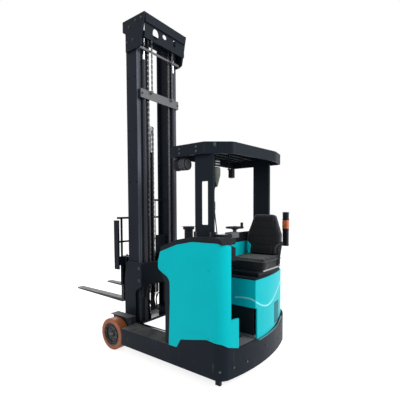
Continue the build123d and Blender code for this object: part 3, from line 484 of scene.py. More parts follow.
paints["black_plastic"] = moulded("black_plastic", (0.0085, 0.0105, 0.0145))
paints["grey_plastic"] = moulded("grey_plastic", (0.10, 0.105, 0.115))
paints["tread_brown"] = polyurethane("tread_brown", (0.34, 0.10, 0.035))
paints["clear_window"] = lens("clear_window", (0.70, 0.50, 0.27), 0.0, 0.75)
rubber = moulded("hose_rubber", (0.010, 0.0105, 0.012), 900.0, 0.65, 0.2)
orange_lens = lens("orange_lens", (0.86, 0.17, 0.03), 90.0)
clear_lens = lens("clear_lens", (0.55, 0.57, 0.60), 60.0, 0.4)
print("plastics and lenses", rubber.name, orange_lens.name, clear_lens.name)

# %% [markdown]
# ## Woven seat cloth
# Seat cloth is a plain weave about a millimetre and a half across, with a fuzz that catches light at
# grazing angles. Two sets of sine bands, one each way, make the weave without any unwrapping.

# %% Seat cloth
def woven(name, colour):
    """Weave height = warp bands x weft bands, pilled by a cloud; sheen is set on the shader itself."""
    finish = Finish(name, 0.85, 0.15, sheen_weight=0.25)
    warp = finish.bands(190.0, "Y")
    weft = finish.bands(380.0, "DIAGONAL", (1.0, 0.0, 1.0))
    threads = finish.times(warp, weft)
    pills = finish.times(finish.cloud(500.0), 0.4)
    finish.bump(finish.maths("ADD", threads, pills), 0.0004)
    worn = finish.toned(colour, 0.75, 1.35, 6.0, 6.0)
    return finish.done(finish.mixed(finish.times(threads, 0.3), worn, shade(colour, 1.9)))


paints["seat_fabric"] = woven("seat_fabric", (0.0075, 0.0085, 0.0105))
seam_thread = woven("seam_thread", (0.045, 0.046, 0.05))
dark, steel, chrome, grey = (paints[k] for k in ("dark_paint", "forged_steel", "chrome", "grey_plastic"))
print("cloths", paints["seat_fabric"].name, seam_thread.name)

# %% [markdown]
# ## Finishes onto the frame
# Every node of the frame takes the finish that the record names for it. The mast's stages, the legs,
# the wheel covers and the chains take their own.

# %% Finishes onto the frame
for row in frame["record"]["subparts"]:
    mesh = frame["nodes"][row["node"]].data
    mesh.materials.clear()
    mesh.materials.append(own_finishes.get(row["node"], paints[row["material_slot"]]))
for chain in ("lift_chains", "free_chains"):
    frame["nodes"][chain].data.materials[0] = chain_steel

# %% [markdown]
# ## Shapes from arrays
# Every added piece is a grid of points worked out at once: rows along it, columns round it. A shape here
# is a pair, its points and its four-sided faces. Ends are closed by a last row drawn in to one point,
# whose doubles are merged when the piece is made.

# %% Shape helpers
def grid_faces(rows, columns):
    """Faces joining each grid point to its neighbours, wrapped round across the columns."""
    i, j = (v.ravel() for v in np.meshgrid(np.arange(rows - 1), np.arange(columns), indexing="ij"))
    k = (j + 1) % columns
    this, after = i * columns, (i + 1) * columns
    return np.stack([this + j, this + k, after + k, after + j], axis=1)


def joined(*shapes):
    """One shape from several: points stacked, face numbers moved up by the points before them."""
    starts = np.cumsum([0] + [len(points) for points, _ in shapes[:-1]])
    faces = [shape_faces + start for (_, shape_faces), start in zip(shapes, starts)]
    return np.vstack([points for points, _ in shapes]), np.vstack(faces)


def copies(shape, offsets):
    """The shape at every offset: point p of copy k is p + offset_k."""
    points, faces = shape
    offsets = np.asarray(offsets, float).reshape(-1, 3)
    order = np.arange(len(offsets))[:, None, None]
    return (points + offsets[:, None]).reshape(-1, 3), (faces + order * len(points)).reshape(-1, 4)


def mirrored(shape):
    """The shape's mirror image in x = 0, its faces turned about so that they still look outwards."""
    return shape[0] * (-1, 1, 1), shape[1][:, ::-1]


def both_sides(shape):
    """The shape and its mirror image."""
    return joined(shape, mirrored(shape))


# %% [markdown]
# Most small parts are turned on a lathe or are a section carried along a path. A path through a few
# points is made smooth first, as a hose is.

# %% Turned and swept shapes
LEFT, RIGHT, AHEAD, BACK, UP, DOWN = (-1, 0, 0), (1, 0, 0), (0, 1, 0), (0, -1, 0), (0, 0, 1), (0, 0, -1)


def turned(origin, axis, rows, sides=24):
    """Turned shape: p = o + h_i a + r_i (cos t_j u + sin t_j v) for rows of radius and height."""
    axis = unit(axis)
    across = unit(np.cross(UP if abs(axis[2]) < 0.9 else RIGHT, axis))
    angle = np.arange(sides) * 2 * math.pi / sides
    ring = np.cos(angle)[:, None] * across + np.sin(angle)[:, None] * np.cross(axis, across)
    rows = np.array(rows, float)
    points = np.array(origin, float) + rows[:, 1, None, None] * axis + rows[:, 0, None, None] * ring
    return points.reshape(-1, 3), grid_faces(len(rows), sides)


def flowing(points, steps=8):
    """Smooth path through points: each span is the Catmull-Rom cubic of its four nearest points."""
    given = np.array(points, float)
    row = np.vstack([2 * given[0] - given[1], given, 2 * given[-1] - given[-2]])
    t = (np.arange(steps) / steps)[None, :, None]
    p0, p1, p2, p3 = (row[k:len(row) - 3 + k, None] for k in range(4))
    square, cube = 2 * p0 - 5 * p1 + 4 * p2 - p3, 3 * p1 - p0 - 3 * p2 + p3
    cubic = 2 * p1 + (p2 - p0) * t + square * t ** 2 + cube * t ** 3
    return np.vstack([(cubic / 2).reshape(-1, 3), given[-1:]])


def swept(path, section, across=UP):
    """Section carried along a path: p = c_i + a_j s_i + b_j n_i.

    The side s is tangent x across, and n is s x tangent. Both ends are drawn in to the path.
    """
    path, section = np.array(path, float), np.array(section, float)
    tangent = unit(np.gradient(path, axis=0))
    side = unit(np.cross(tangent, across))
    normal = np.cross(side, tangent)
    body = path[:, None] + section[:, :1] * side[:, None] + section[:, 1:] * normal[:, None]
    ends = [np.repeat(path[[k]][:, None], len(section), 1) for k in (0, -1)]
    points = np.concatenate([ends[0], body, ends[1]])
    return points.reshape(-1, 3), grid_faces(len(path) + 2, len(section))


def round_section(radius, sides=12):
    """Circle as a section."""
    angle = np.arange(sides) * 2 * math.pi / sides
    return np.stack([radius * np.cos(angle), radius * np.sin(angle)], axis=1)


def tube(points, radius, sides=12, across=RIGHT):
    """Round tube along a smooth path."""
    return swept(flowing(points), round_section(radius, sides), across)


def flat_section(width, height):
    """Rectangle as a section, side to side and then upwards."""
    return np.array([(-1, -1), (1, -1), (1, 1), (-1, 1)]) * (width / 2, height / 2)


# %% [markdown]
# A rounded box is a sphere cut into eighths, which are then drawn apart to the box's corners.

# %% Rounded boxes
def soft_box(low, high, radius, steps=3):
    """Box with rounded edges: p = m + sign (half - r) + r d, d over each eighth of a sphere in turn."""
    low, high = np.array(low, float), np.array(high, float)
    middle, half = (low + high) / 2, (high - low) / 2
    quarter = np.linspace(0, math.pi / 2, steps + 1)
    turn = np.concatenate([quarter + k * math.pi / 2 for k in range(4)])
    sign_x = np.repeat([1, -1, -1, 1], steps + 1)
    sign_y = np.repeat([1, 1, -1, -1], steps + 1)
    rise = np.concatenate([quarter - math.pi / 2, quarter])
    sign_z = np.repeat([-1, 1], steps + 1)
    direction = np.stack([
        np.cos(rise)[:, None] * np.cos(turn),
        np.cos(rise)[:, None] * np.sin(turn),
        np.repeat(np.sin(rise)[:, None], len(turn), 1),
    ], axis=-1)
    sign = np.stack(np.broadcast_arrays(sign_x[None], sign_y[None], sign_z[:, None]), axis=-1)
    body = middle + sign * (half - radius) + radius * direction
    caps = [np.broadcast_to(middle + (0, 0, k * half[2]), (1, len(turn), 3)) for k in (-1, 1)]
    return np.concatenate([caps[0], body, caps[1]]).reshape(-1, 3), grid_faces(len(rise) + 2, len(turn))


# %% [markdown]
# A shape becomes a piece when it has a mesh, a finish and a body of the frame to ride on. Its place is
# in its points, so the object itself stays at the origin.

# %% From shape to piece
SHARP_ANGLE = math.radians(38.0)
BEVEL_ANGLE = math.radians(35.0)


def merged(mesh, distance, outwards):
    """Join the mesh's points that lie within the distance, and turn its faces outwards if asked."""
    edit = bmesh.new()
    edit.from_mesh(mesh)
    bmesh.ops.remove_doubles(edit, verts=edit.verts, dist=distance)
    if outwards:
        bmesh.ops.recalc_face_normals(edit, faces=edit.faces)
    edit.to_mesh(mesh)
    edit.free()


def piece(name, shape, paint, body="chassis", bevel=0.0):
    """Mesh object from a shape: doubles merged, faces turned outwards, edges sharp above an angle."""
    mesh = bpy.data.meshes.new(name)
    mesh.from_pydata(shape[0].tolist(), [], shape[1].tolist())
    merged(mesh, 1e-6, True)
    mesh.shade_smooth()
    mesh.set_sharp_from_angle(angle=SHARP_ANGLE)
    mesh.materials.append(paint)
    obj = added(name, mesh)
    if bevel:
        edges = obj.modifiers.new("soft_edges", "BEVEL")
        edges.width, edges.segments, edges.angle_limit = bevel, 2, BEVEL_ANGLE
    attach(obj, body)
    print(name, len(mesh.polygons), "faces")


SCREW_ROWS = np.array([
    (0, 0), (1.5, 0), (1.5, 0.25), (1.0, 0.25), (1.0, 0.95), (0.85, 1.1), (0.5, 1.1), (0.5, 0.6), (0, 0.6),
])


def bolt(place, axis, size):
    """Socket screw: a low washer, a domed head and a socket sunk into it. size is the head's radius."""
    return turned(place, axis, SCREW_ROWS * size, 12)


# %% [markdown]
# Places along the truck are easiest to give from the rear bumper. What is screwed on finds its face by
# a line sent at the frame, and what lies on the curved rear follows that curve's own formula.

# %% Finding a place
HALF_LENGTH = 1.415
HALF_WIDTH = 0.635
BOW = 0.1
REAR_RADIUS = (HALF_WIDTH ** 2 + BOW ** 2) / (2 * BOW)


def at(station):
    """Y of a place given in metres from the rear bumper's middle."""
    return station - HALF_LENGTH


def on_face(node, starts, direction):
    """Where lines from the starts, in one direction, first meet a frame piece."""
    solid = frame["nodes"][node]
    hits = [solid.ray_cast(tuple(start), direction) for start in starts]
    return [tuple(place) for found, place, _, _ in hits if found]


def bolts(name, node, starts, direction, size, body="chassis", paint=zinc):
    """A row of screws seated on a frame piece's face, heads against the direction they were sent in."""
    axis = tuple(-v for v in direction)
    places = on_face(node, starts, direction)
    piece(name, joined(*(bolt(place, axis, size) for place in places)), paint, body)


def arc_y(x, inset):
    """The rear outline, a circle's arc: y = R - half length - sqrt((R - inset)^2 - x^2)."""
    return REAR_RADIUS - HALF_LENGTH - np.sqrt((REAR_RADIUS - inset) ** 2 - np.asarray(x) ** 2)


print("rear radius", round(REAR_RADIUS, 3))

# %% [markdown]
# ## The seat
# A truck seat is moulded foam in woven cloth: crowned, soft at its edges, drawn in along its seams.
# Pressing air into the frame's plain solid with Blender's cloth solver gives that crown, and the seams
# are drawn in afterwards, because a remesh would lose them. A seam is a valley in the distance to a line.

# %% Seat cushions
CLOTH_FRAMES = 20
CLOTH_PRESSURE = 4.0
VOXEL = 0.007


def numbers(mesh, name):
    """One vector for each vertex, as rows of an array."""
    values = np.empty(len(mesh.vertices) * 3)
    mesh.vertices.foreach_get(name, values)
    return values.reshape(-1, 3)


def as_modified(obj):
    """The object's mesh as its modifiers make it now."""
    return bpy.data.meshes.new_from_object(obj.evaluated_get(bpy.context.evaluated_depsgraph_get()))


def even_skin(node, name, inset):
    """The node's mesh drawn in, p' = m + (p - m) (half - inset) / half, and remeshed evenly."""
    low, high = (np.array(corner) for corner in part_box(node))
    middle, half = (low + high) / 2, (high - low) / 2
    mesh = frame["nodes"][node].data.copy()
    smaller = middle + (numbers(mesh, "co") - middle) * (half - inset) / half
    mesh.vertices.foreach_set("co", smaller.ravel())
    merged(mesh, 1e-5, False)
    obj = added(name, mesh)
    remesh = obj.modifiers.new("even_skin", "REMESH")
    remesh.mode, remesh.voxel_size = "VOXEL", VOXEL
    obj.data = as_modified(obj)
    obj.modifiers.clear()
    return obj, middle


def blown_up(obj):
    """Where the points lie after the cloth solver has pressed air into the skin, without gravity."""
    cloth = obj.modifiers.new("air", "CLOTH")
    cloth.settings.use_pressure = True
    cloth.settings.uniform_pressure_force = CLOTH_PRESSURE
    cloth.settings.effector_weights.gravity = 0.0
    cloth.point_cache.frame_end = CLOTH_FRAMES
    for step in range(1, CLOTH_FRAMES + 1):
        scene.frame_set(step)
    end = numbers(as_modified(obj), "co")
    obj.modifiers.clear()
    scene.frame_set(1)
    return end


def plumped(node, name, inset, cap, seams):
    """Inflate, hold each point within the cap, then draw in the seams: p' = p - n * seam depth."""
    obj, middle = even_skin(node, name, inset)
    start = numbers(obj.data, "co")
    end = start
    end = blown_up(obj)
    move = end - start
    length = np.maximum(np.linalg.norm(move, axis=1, keepdims=True), 1e-9)
    end = start + move * np.minimum(1.0, cap / length)
    obj.data.vertices.foreach_set("co", end.ravel())
    obj.data.update()
    normals = numbers(obj.data, "normal")
    drawn_in = seams(end, normals, middle)
    obj.data.vertices.foreach_set("co", (end - normals * drawn_in[:, None]).ravel())
    obj.data.materials.clear()
    obj.data.materials.append(paints["seat_fabric"])
    obj.data.shade_smooth()
    smooth = obj.modifiers.new("finer", "SUBSURF")
    smooth.levels = smooth.render_levels = 1
    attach(obj, "chassis")
    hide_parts(node)
    print(name, len(obj.data.polygons), "faces, moved up to", round(float(length.max()) * 1000), "mm")


# %% [markdown]
# ## The seat's seams
# The cushion has a sunk middle panel with four channels across it, between two bolsters. The back has
# the same, and a seam round its edge, where the front cover meets the rear one.

# %% Seams
CUSHION_CHANNELS = (-0.11, -0.02, 0.07, 0.15)
BACK_CHANNELS = (-0.12, -0.03, 0.06, 0.14)
BACK_LEAN = math.tan(math.radians(6.0))
CHANNEL, BOLSTER, EDGE = (0.006, 0.006), (0.008, 0.007), (0.004, 0.004)
PANEL_DEPTH = 0.008


def valley(distance, depth, width):
    """How deep a seam is at a distance from its line: depth * exp(-(distance / width)^2)."""
    return depth * np.exp(-(distance / width) ** 2)


def ramp(value, start, width):
    """0 up to the start, then rising to 1 over the width."""
    return np.clip((value - start) / width, 0, 1)


def cushion_seams(points, normals, middle):
    """A sunk panel with cross channels between two bolster seams, on the top only."""
    x, y = points[:, 0] - middle[0], np.abs(points[:, 1] - middle[1])
    panel = ramp(-y, -0.15, 0.02)
    channels = sum(valley(x - place, *CHANNEL) for place in CUSHION_CHANNELS) * panel
    bolsters = valley(y - 0.14, *BOLSTER)
    return ramp(normals[:, 2], 0.3, 0.3) * (bolsters + channels + PANEL_DEPTH * panel)


def back_seams(points, normals, middle):
    """Bolster seams and cross channels on the face that the driver leans on, and a seam round the edge."""
    y, z = np.abs(points[:, 1] - middle[1]), points[:, 2] - middle[2]
    panel = ramp(-y, -0.13, 0.02)
    channels = sum(valley(z - place, *CHANNEL) for place in BACK_CHANNELS) * panel
    bolsters = valley(y - 0.125, *BOLSTER)
    edge = valley(points[:, 0] - middle[0] - z * BACK_LEAN, *EDGE)
    front, side = ramp(-normals[:, 0], 0.3, 0.3), ramp(-np.abs(normals[:, 0]), -0.6, 0.3)
    return front * (bolsters + channels) + side * edge


plumped("seat_cushion", "padded_seat_cushion", (0.005, 0.005, 0.006), 0.014, cushion_seams)
plumped("seat_back", "padded_seat_back", (0.005, 0.003, 0.002), 0.010, back_seams)

# %% [markdown]
# ## What carries the seat
# Piping runs round the cushion where its top meets its sides. Under it are two rails, and a bent strap
# and a moulded shell carry the back.

# %% Seat piping and carriers
def rounded_loop(low, high, radius, height, steps=8):
    """Rounded rectangle at a height: four quarter turns about the inset corners, joined up."""
    turn = np.concatenate([np.linspace(k, k + 1, steps) * math.pi / 2 for k in range(4)])
    x_side = np.repeat([high[0] - radius, low[0] + radius, low[0] + radius, high[0] - radius], steps)
    y_side = np.repeat([high[1] - radius, high[1] - radius, low[1] + radius, low[1] + radius], steps)
    x, y = x_side + radius * np.cos(turn), y_side + radius * np.sin(turn)
    loop = np.stack([x, y, np.full(len(turn), height)], axis=1)
    return np.vstack([loop, loop[:1]])


cushion_edge = rounded_loop((-0.006, -1.387), (0.408, -0.983), 0.035, 1.056)
piece("seat_piping", swept(cushion_edge, round_section(0.0045, 8)), seam_thread)
rail = soft_box((0.02, -1.372, 0.958), (0.42, -1.352, 0.974), 0.003)
piece("seat_rails", copies(rail, [(0, 0, 0), (0, 0.354, 0)]), bright_steel)
strap_path = flowing([
    (0.29, -1.392, 0.99), (0.315, -1.395, 1.06), (0.345, -1.395, 1.14), (0.385, -1.392, 1.23),
])
strap = swept(strap_path, flat_section(0.006, 0.028), AHEAD)
piece("seat_hinge_bracket", strap, steel, bevel=0.001)
shell = soft_box((0.385, -1.36, 0.970), (0.45, -1.01, 1.16), 0.02)
piece("seat_back_shell", shell, paints["black_plastic"])

# %% [markdown]
# ## Lamps
# A lamp is a housing, a rim and a lens. The frame has the housings. Rims and lenses are turned or
# rounded forms that stand a millimetre or two proud, and the lens gets moulded ribs from its finish.

# %% Signal lamp
piece("signal_lens", soft_box((0.5695, -1.3805, 1.354), (0.6305, -1.3155, 1.456), 0.012), orange_lens)
collar = soft_box((0.5705, -1.3795, 0.0), (0.6295, -1.3165, 0.010), 0.004)
piece("signal_lamp_collars", copies(collar, [(0, 0, z) for z in (1.17, 1.344, 1.456, 1.53)]), rubber)

# %% Work lamp and cabin lamp
LAMP_X, LAMP_Z = -0.5, 2.005
LAMP_FRONT, LAMP_REAR = -0.714, -0.844


def lamp_part(name, y, axis, rows, paint):
    """A turned part of the work lamp, at a place along its axis."""
    piece(name, turned((LAMP_X, y, LAMP_Z), axis, rows, 32), paint)


lens_rows = [(0, 0.010), (0.03, 0.008), (0.044, 0.002), (0.047, -0.004), (0, -0.004)]
lamp_part("work_lamp_lens", LAMP_FRONT, AHEAD, lens_rows, clear_lens)
rim_rows = [
    (0.046, -0.02), (0.058, -0.02), (0.060, 0.0), (0.057, 0.010),
    (0.050, 0.012), (0.046, 0.0), (0.046, -0.02),
]
lamp_part("work_lamp_rim", LAMP_FRONT, AHEAD, rim_rows, rubber)
fin_rows = [(0.05, 0.0), (0.0575, 0.0), (0.0585, 0.003), (0.0575, 0.006), (0.05, 0.006), (0.05, 0.0)]
fin = turned((LAMP_X, LAMP_REAR + 0.006, LAMP_Z), AHEAD, fin_rows, 32)
piece("work_lamp_fins", copies(fin, [(0, k * 0.014, 0) for k in range(5)]), grey)
lamp_cap_rows = [(0, 0.008), (0.030, 0.007), (0.046, 0.002), (0.05, -0.004), (0, -0.004)]
lamp_part("work_lamp_cap", LAMP_REAR, BACK, lamp_cap_rows, grey)
cabin_rows = [(0, 0.006), (0.014, 0.005), (0.02, 0), (0, 0)]
piece("cabin_lens", turned((-0.1, at(0.34), 1.890), DOWN, cabin_rows), clear_lens)

# %% [markdown]
# ## The fan
# A small fan hangs beside the left post: a tapered can, bright rings on it, and a cable that runs down
# to the console. The cable is held at both ends and at its sleeve.

# %% Fan and its cable
ring_rows = [(0.034, 0), (0.044, 0.002), (0.046, 0.006), (0.044, 0.010), (0.034, 0.012), (0.034, 0)]
ring = turned((-0.44, at(0.30), 1.93), UP, ring_rows)
piece("fan_rings", copies(ring, [(0, 0, k * 0.024) for k in range(1, 4)]), bright_steel)
can_rows = [
    (0, 0), (0.018, 0.0), (0.024, 0.02), (0.036, 0.07),
    (0.044, 0.10), (0.045, 0.16), (0.040, 0.168), (0, 0.168),
]
fan_green = moulded("fan_housing", (0.10, 0.115, 0.10))
piece("fan_can", turned((-0.432, at(0.30), 1.785), UP, can_rows, 28), fan_green)
cable_route = [
    (-0.44, at(0.30), 1.79), (-0.448, at(0.305), 1.74), (-0.456, at(0.30), 1.62),
    (-0.46, at(0.285), 1.50), (-0.458, at(0.27), 1.38), (-0.452, at(0.262), 1.262),
]
piece("fan_cable", tube(cable_route, 0.005), rubber)
sleeve_rows = [(0, 0), (0.008, 0), (0.011, 0.02), (0.011, 0.075), (0.008, 0.09), (0, 0.09)]
piece("fan_cable_sleeve", turned((-0.4565, at(0.298), 1.56), UP, sleeve_rows, 16), grey)

# %% [markdown]
# ## Screws
# Panels, posts and covers are screwed on. Each row is sent from outside towards its panel and stops
# where it meets the frame's face, so the heads sit on the metal wherever that face happens to be.

# %% Screws
OUTSIDE = 2.0


def crossed(stations, heights):
    """Every station with every height."""
    return [(station, height) for station in stations for height in heights]


def side_rows(body, paint, rows):
    """Screws on the truck's sides: name, frame piece, direction, size, and stations with heights."""
    for name, node, direction, size, pairs in rows:
        starts = [(-OUTSIDE * direction[0], at(station), height) for station, height in pairs]
        bolts(name, node, starts, direction, size, body, paint)


skirt_places = ((0.004, 0.24), (-0.33, 0.2), (0.33, 0.2), (-0.5, 0.2), (0.5, 0.2))
bolts("skirt_bolts", "rear_bumper", [(x, -OUTSIDE, z) for x, z in skirt_places], AHEAD, 0.007)
piece("corner_bolts", both_sides(bolt((-0.620, -1.289, 0.186), (-0.87, -0.5, 0), 0.007)), zinc)
side_rows("chassis", zinc, (
    ("post_bolts", "guard_post_left", RIGHT, 0.006, crossed((0.29, 0.455), (1.338, 1.36))),
    ("roof_bolts", "guard_roof", RIGHT, 0.007, crossed((0.42, 0.62), (2.10, 2.14))),
    ("roof_bolts_right", "guard_roof", LEFT, 0.007, crossed((0.22, 0.42, 0.62), (2.10, 2.14))),
    ("right_post_bolts", "guard_post_right", LEFT, 0.007, crossed((0.29, 0.39), (1.02, 1.10, 2.02))),
))

# %% [markdown]
# The mast has larger screws on its head and on the carriage, and a row of roller pins up each web.

# %% Screws on the mast
cheek_pairs = [(1.36, 3.70), (1.45, 3.70), (1.56, 3.66), (1.50, 3.50), (1.60, 3.50)]
carriage_pairs = crossed((1.43,), (0.62, 0.76, 0.90))
web_pairs = [(station, height) for height in (1.3, 1.9, 2.5, 3.1) for station in (1.5, 1.61)]
side_rows("reach_carriage", zinc, (
    ("cheek_bolts_right", "mast_head", LEFT, 0.009, cheek_pairs),
    ("cheek_bolts_left", "mast_head", RIGHT, 0.009, cheek_pairs),
))
bolts("tie_bolts", "mast_ties", [(x, -1, 2.905) for x in (-0.297, 0.297)], AHEAD, 0.010, "reach_carriage")
side_rows("reach_carriage", zinc, (
    ("carriage_bolts_left", "reach_carriage", RIGHT, 0.012, carriage_pairs),
    ("carriage_bolts_right", "reach_carriage", LEFT, 0.012, carriage_pairs),
))
side_rows("reach_carriage", dark, (
    ("roller_pins_left", "mast_outer", RIGHT, 0.006, web_pairs),
    ("roller_pins_right", "mast_outer", LEFT, 0.006, web_pairs),
))
backrest_places = [(x, OUTSIDE, 0.96) for x in (-0.39, -0.15, 0.15, 0.39)]
bolts("backrest_bolts", "fork_carriage", backrest_places, BACK, 0.007, "fork_carriage")

# %% Panel screws
side_rows("chassis", paints["turquoise_paint"], (
    ("hood_screws", "side_panel_left", RIGHT, 0.006, crossed((0.78, 0.24), (0.45, 1.05))),
    ("right_panel_screws", "side_panel_right", LEFT, 0.006, crossed((0.78, 0.50), (0.45, 1.05))),
))

# %% [markdown]
# ## Wheels
# The load wheel's hub shows a pressed ring, a bearing cap and a circle of screws. A circle of screws is
# one screw copied to points on a circle.

# %% Wheels
WHEEL_Y, WHEEL_Z = 0.196, 0.175


def circle_of(count, radius):
    """Offsets round a circle in the y-z plane."""
    angle = np.arange(count) * 2 * math.pi / count
    return np.stack([np.zeros(count), radius * np.cos(angle), radius * np.sin(angle)], axis=1)


hub_cap_rows = [
    (0, 0.012), (0.018, 0.012), (0.026, 0.009), (0.030, 0.003), (0.034, 0.0), (0.034, -0.03), (0, -0.03),
]
hub_ring_rows = [
    (0.092, -0.02), (0.100, -0.02), (0.100, 0.001), (0.097, 0.004), (0.092, 0.001), (0.092, -0.02),
]
hub_face = (-0.621, WHEEL_Y, WHEEL_Z)
wheel_trim = joined(turned(hub_face, LEFT, hub_cap_rows, 32), turned(hub_face, LEFT, hub_ring_rows, 64))
wheel_screws = copies(bolt((-0.6125, WHEEL_Y, WHEEL_Z), LEFT, 0.006), circle_of(6, 0.062))
hubs = {"left": (wheel_trim, wheel_screws), "right": (mirrored(wheel_trim), mirrored(wheel_screws))}
for side, (trim, screws) in hubs.items():
    piece(f"load_wheel_trim_{side}", trim, steel, f"load_wheel_{side}")
    piece(f"load_wheel_screws_{side}", screws, zinc, f"load_wheel_{side}")
drive_screws = copies(bolt((0.161, at(0.33), 0.171), RIGHT, 0.008), circle_of(6, 0.07))
piece("drive_wheel_screws", drive_screws, bright_steel, "drive_wheel")

# %% [markdown]
# ## The seat box's wave and its vent
# The pressed wave on the box is a narrow rib, painted a paler turquoise as a painted highlight where it
# catches the light, and a vent with slats sits low on its back, its slats a darker turquoise with a dark
# sheet behind them as painted shade. Both follow the box's curved back, so their paths are that arc at the
# box's inset.

# %% The wave
BOX_INSET = 0.026


def rear_line(x, inset, height, out=0.0):
    """Points along the rear arc: (x, arc at the inset - out, height)."""
    return np.stack([x, arc_y(x, inset) - out, np.broadcast_to(height, x.shape)], axis=1)


# Painted highlight: the rib takes a paler copy of the turquoise, standing for the light it catches.
turquoise_painted_highlight = enamel("turquoise_painted_highlight", (0.22, 0.74, 0.78), (0.3, 0.6, 0.62), 0.35, 0.3)
rib_section = [(-0.0018, -0.009), (0.0018, -0.007), (0.0022, 0.0), (0.0018, 0.007), (-0.0018, 0.009)]
side_pairs = ((0.26, 0.716), (0.169, 0.727), (0.081, 0.725), (0.034, 0.708))
side_wave = flowing([(-0.1655, at(station), height) for station, height in side_pairs], 12)
wave_x = np.array([-0.160, -0.077, 0.0, 0.072, 0.14, 0.209, 0.295, 0.379, 0.483, 0.53])
wave_z = np.array([0.704, 0.660, 0.632, 0.620, 0.627, 0.645, 0.682, 0.721, 0.767, 0.784])
back_wave = flowing(rear_line(wave_x, BOX_INSET, wave_z, 0.0005), 10)
piece("box_wave_side", swept(side_wave, rib_section), turquoise_painted_highlight)
piece("box_wave_back", swept(back_wave, rib_section), turquoise_painted_highlight)

# %% The vent
# Painted shade: the slats take a darker copy of the turquoise, standing for the shade of the vent's recess.
vent_turquoise_painted_shade = enamel("vent_turquoise_painted_shade", (0.012, 0.20, 0.24), (0.15, 0.3, 0.32), 0.4, 0.1)
vent_x = np.linspace(0.262, 0.420, 20)
slat_section = [(-0.001, -0.007), (0.004, -0.006), (0.0015, 0.007), (-0.001, 0.007)]
slat = swept(rear_line(vent_x, BOX_INSET, 0.0), slat_section)
slats = copies(slat, [(0, 0, z) for z in np.arange(0.40, 0.58, 0.022)])
piece("vent_slats", slats, vent_turquoise_painted_shade, bevel=0.0005)
# Painted shade: a dark sheet behind the slats stands for the shadow inside the vent.
vent_section = [(-0.001, -0.108), (0.0015, -0.108), (0.0015, 0.108), (-0.001, 0.108)]
vent_painted_shade_sheet = swept(rear_line(vent_x, BOX_INSET, 0.487, -0.001), vent_section)
piece("vent_painted_shade_sheet", vent_painted_shade_sheet, dark)

# %% [markdown]
# ## Underfoot
# A bright strip edges the skirt where a boot would scuff it, and the step has a ribbed mat. The strip
# drops on to the skirt from above, point by point along the rear arc.

# %% Sill strip and mat
strip_x = np.linspace(-0.13, 0.50, 40)
strip_path = np.array(on_face("rear_bumper", rear_line(strip_x, 0.012, 1.0), DOWN))
strip_section = [(-0.009, -0.001), (0.009, -0.001), (0.008, 0.0015), (-0.008, 0.0015)]
piece("sill_strip", swept(strip_path + (0, 0, 0.001), strip_section), bright_steel)
mat = soft_box((-0.585, -1.235, 0.3435), (-0.168, -0.86, 0.3465), 0.001)
mat_rib = soft_box((-0.58, -0.004, 0.344), (-0.172, 0.004, 0.349), 0.002)
mat_ribs = copies(mat_rib, [(0, y, 0) for y in np.arange(-1.22, -0.87, 0.022)])
piece("step_mat", joined(mat, mat_ribs), rubber)

# %% [markdown]
# ## The driver's controls
# Small things within reach: a screen and buttons on the console, a cap on the steering hub and a plate
# on the lever box. They are rounded boxes and turned caps, seated on the console's faces.

# %% Controls
screen_glass = lens("screen_glass", (0.02, 0.03, 0.035), 0.0, 0.1)
screen = soft_box((-0.494, at(0.176), 1.349), (-0.366, at(0.244), 1.353), 0.002)
piece("console_screen", screen, screen_glass)
piece("console_trim", soft_box((-0.503, at(0.167), 1.312), (-0.357, at(0.170), 1.318), 0.001), grey)
button = soft_box((-0.355, 0.0, 1.309), (-0.335, 0.014, 1.316), 0.002)
button_places = [(x, at(station), 0) for station in (0.29, 0.32, 0.35, 0.38) for x in (0, -0.035)]
piece("console_buttons", copies(button, button_places), grey)
wheel_cap_rows = [(0, 0.012), (0.018, 0.011), (0.026, 0.006), (0.028, 0.0), (0, 0.0)]
piece("steering_cap", turned((-0.225, at(0.225), 1.407), UP, wheel_cap_rows), grey, "steering_wheel")
piece("lever_plate", soft_box((-0.452, at(0.598), 1.408), (-0.348, at(0.702), 1.412), 0.002), grey)

# %% [markdown]
# ## The mast's small steelwork
# Below the head's top beam hangs a plate with round holes, through which the sky shows. A plate with a
# hole is one grid: its inner row is the hole, its outer row the plate's outline, met at equal angles.

# %% Holed plate
PLATE_Y = (at(1.322), at(1.328))
PLATE_Z = (3.485, 3.655)


def holed_plate(x_range, hole, radius, sides=48):
    """Faces from a hole to a rectangle, whose outline point in a direction d is m + d / max(|d| / half)."""
    angle = (np.arange(sides) + 0.5) * 2 * math.pi / sides
    ring = np.stack([np.cos(angle), np.sin(angle)], axis=1)
    low, high = np.array([x_range, PLATE_Z]).T
    middle, half = (low + high) / 2, (high - low) / 2
    outline = middle + ring / np.max(np.abs(ring) / half, axis=1, keepdims=True)
    inner = np.array(hole) + ring * np.array(radius)
    rear, front = PLATE_Y
    rows = [(inner, rear), (outline, rear), (outline, front), (inner, front), (inner, rear)]
    points = np.stack([np.stack([row[:, 0], np.full(sides, y), row[:, 1]], axis=1) for row, y in rows])
    return points.reshape(-1, 3), grid_faces(len(rows), sides)


head_plate = joined(
    holed_plate((-0.331, -0.07), (-0.164, 3.575), (0.046, 0.062)),
    holed_plate((-0.07, 0.05), (-0.02, 3.605), (0.032, 0.026)),
    holed_plate((0.05, 0.331), (0.15, 3.595), (0.024, 0.045)),
)
piece("head_plate", head_plate, dark, "reach_carriage", 0.001)

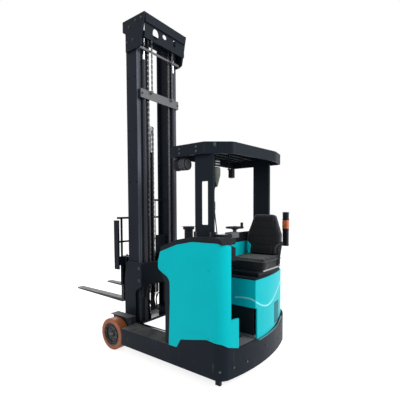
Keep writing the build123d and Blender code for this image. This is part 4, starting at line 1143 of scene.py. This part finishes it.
# %% [markdown]
# ## Pipes, hoses and the side-shift cylinder
# A pipe runs up beside the free-lift cylinder to a clamp. At the mast's foot stands a valve block with
# four fittings, and a hose rises from each to the reach carriage. The side shifter has its own cylinder.

# %% Mast pipe and valve block
pipe = tube([(0.07, at(1.60), z) for z in (0.32, 0.9, 1.4, 1.70)], 0.006)
piece("lift_pipe", pipe, chrome, "mast_inner")
clamp = soft_box((0.018, at(1.586), 1.688), (0.165, at(1.612), 1.712), 0.004)
piece("pipe_clamp", clamp, steel, "mast_inner")
block = soft_box((-0.19, at(1.418), 0.268), (-0.06, at(1.452), 0.345), 0.004)
piece("valve_block", block, bright_steel, "reach_carriage", bevel=0.001)
fitting_rows = [(0, 0), (0.012, 0), (0.012, 0.012), (0.009, 0.014), (0.009, 0.026), (0, 0.026)]
fitting = turned((-0.17, at(1.435), 0.343), UP, fitting_rows, 6)
fittings = copies(fitting, [(k * 0.03, 0, 0) for k in range(4)])
piece("valve_fittings", fittings, bright_steel, "reach_carriage")

# %% Hoses
HOSE_ROUTE = np.array([
    (-0.17, at(1.435), 0.36), (-0.172, at(1.434), 0.42), (-0.20, at(1.43), 0.49),
    (-0.24, at(1.415), 0.54), (-0.25, at(1.405), 0.575),
])
HOSE_SPREAD = np.array([(0.03, 0, 0), (0.03, 0, 0), (0.035, 0, 0), (0.05, 0, 0), (0.055, 0, 0)])
hoses = joined(*(tube(HOSE_ROUTE + k * HOSE_SPREAD, 0.0085) for k in range(4)))
piece("valve_hoses", hoses, rubber, "reach_carriage")

# %% Side shift and fork locks
shift_tube = tube([(x, 0.300, 0.835) for x in (-0.20, -0.1, 0.0, 0.10)], 0.020, 20, UP)
piece("shift_tube", shift_tube, dark, "side_shifter")
shift_rod = tube([(x, 0.300, 0.835) for x in (0.09, 0.2, 0.31)], 0.010, 16, UP)
piece("shift_rod", shift_rod, chrome, "side_shifter")
knob_rows = [
    (0, 0.022), (0.006, 0.022), (0.010, 0.018), (0.010, 0.006),
    (0.014, 0.004), (0.014, -0.004), (0, -0.004),
]
knob = turned((-0.251, 0.36, 1.01), UP, knob_rows, 16)
piece("fork_locks", both_sides(knob), steel, "fork_carriage")
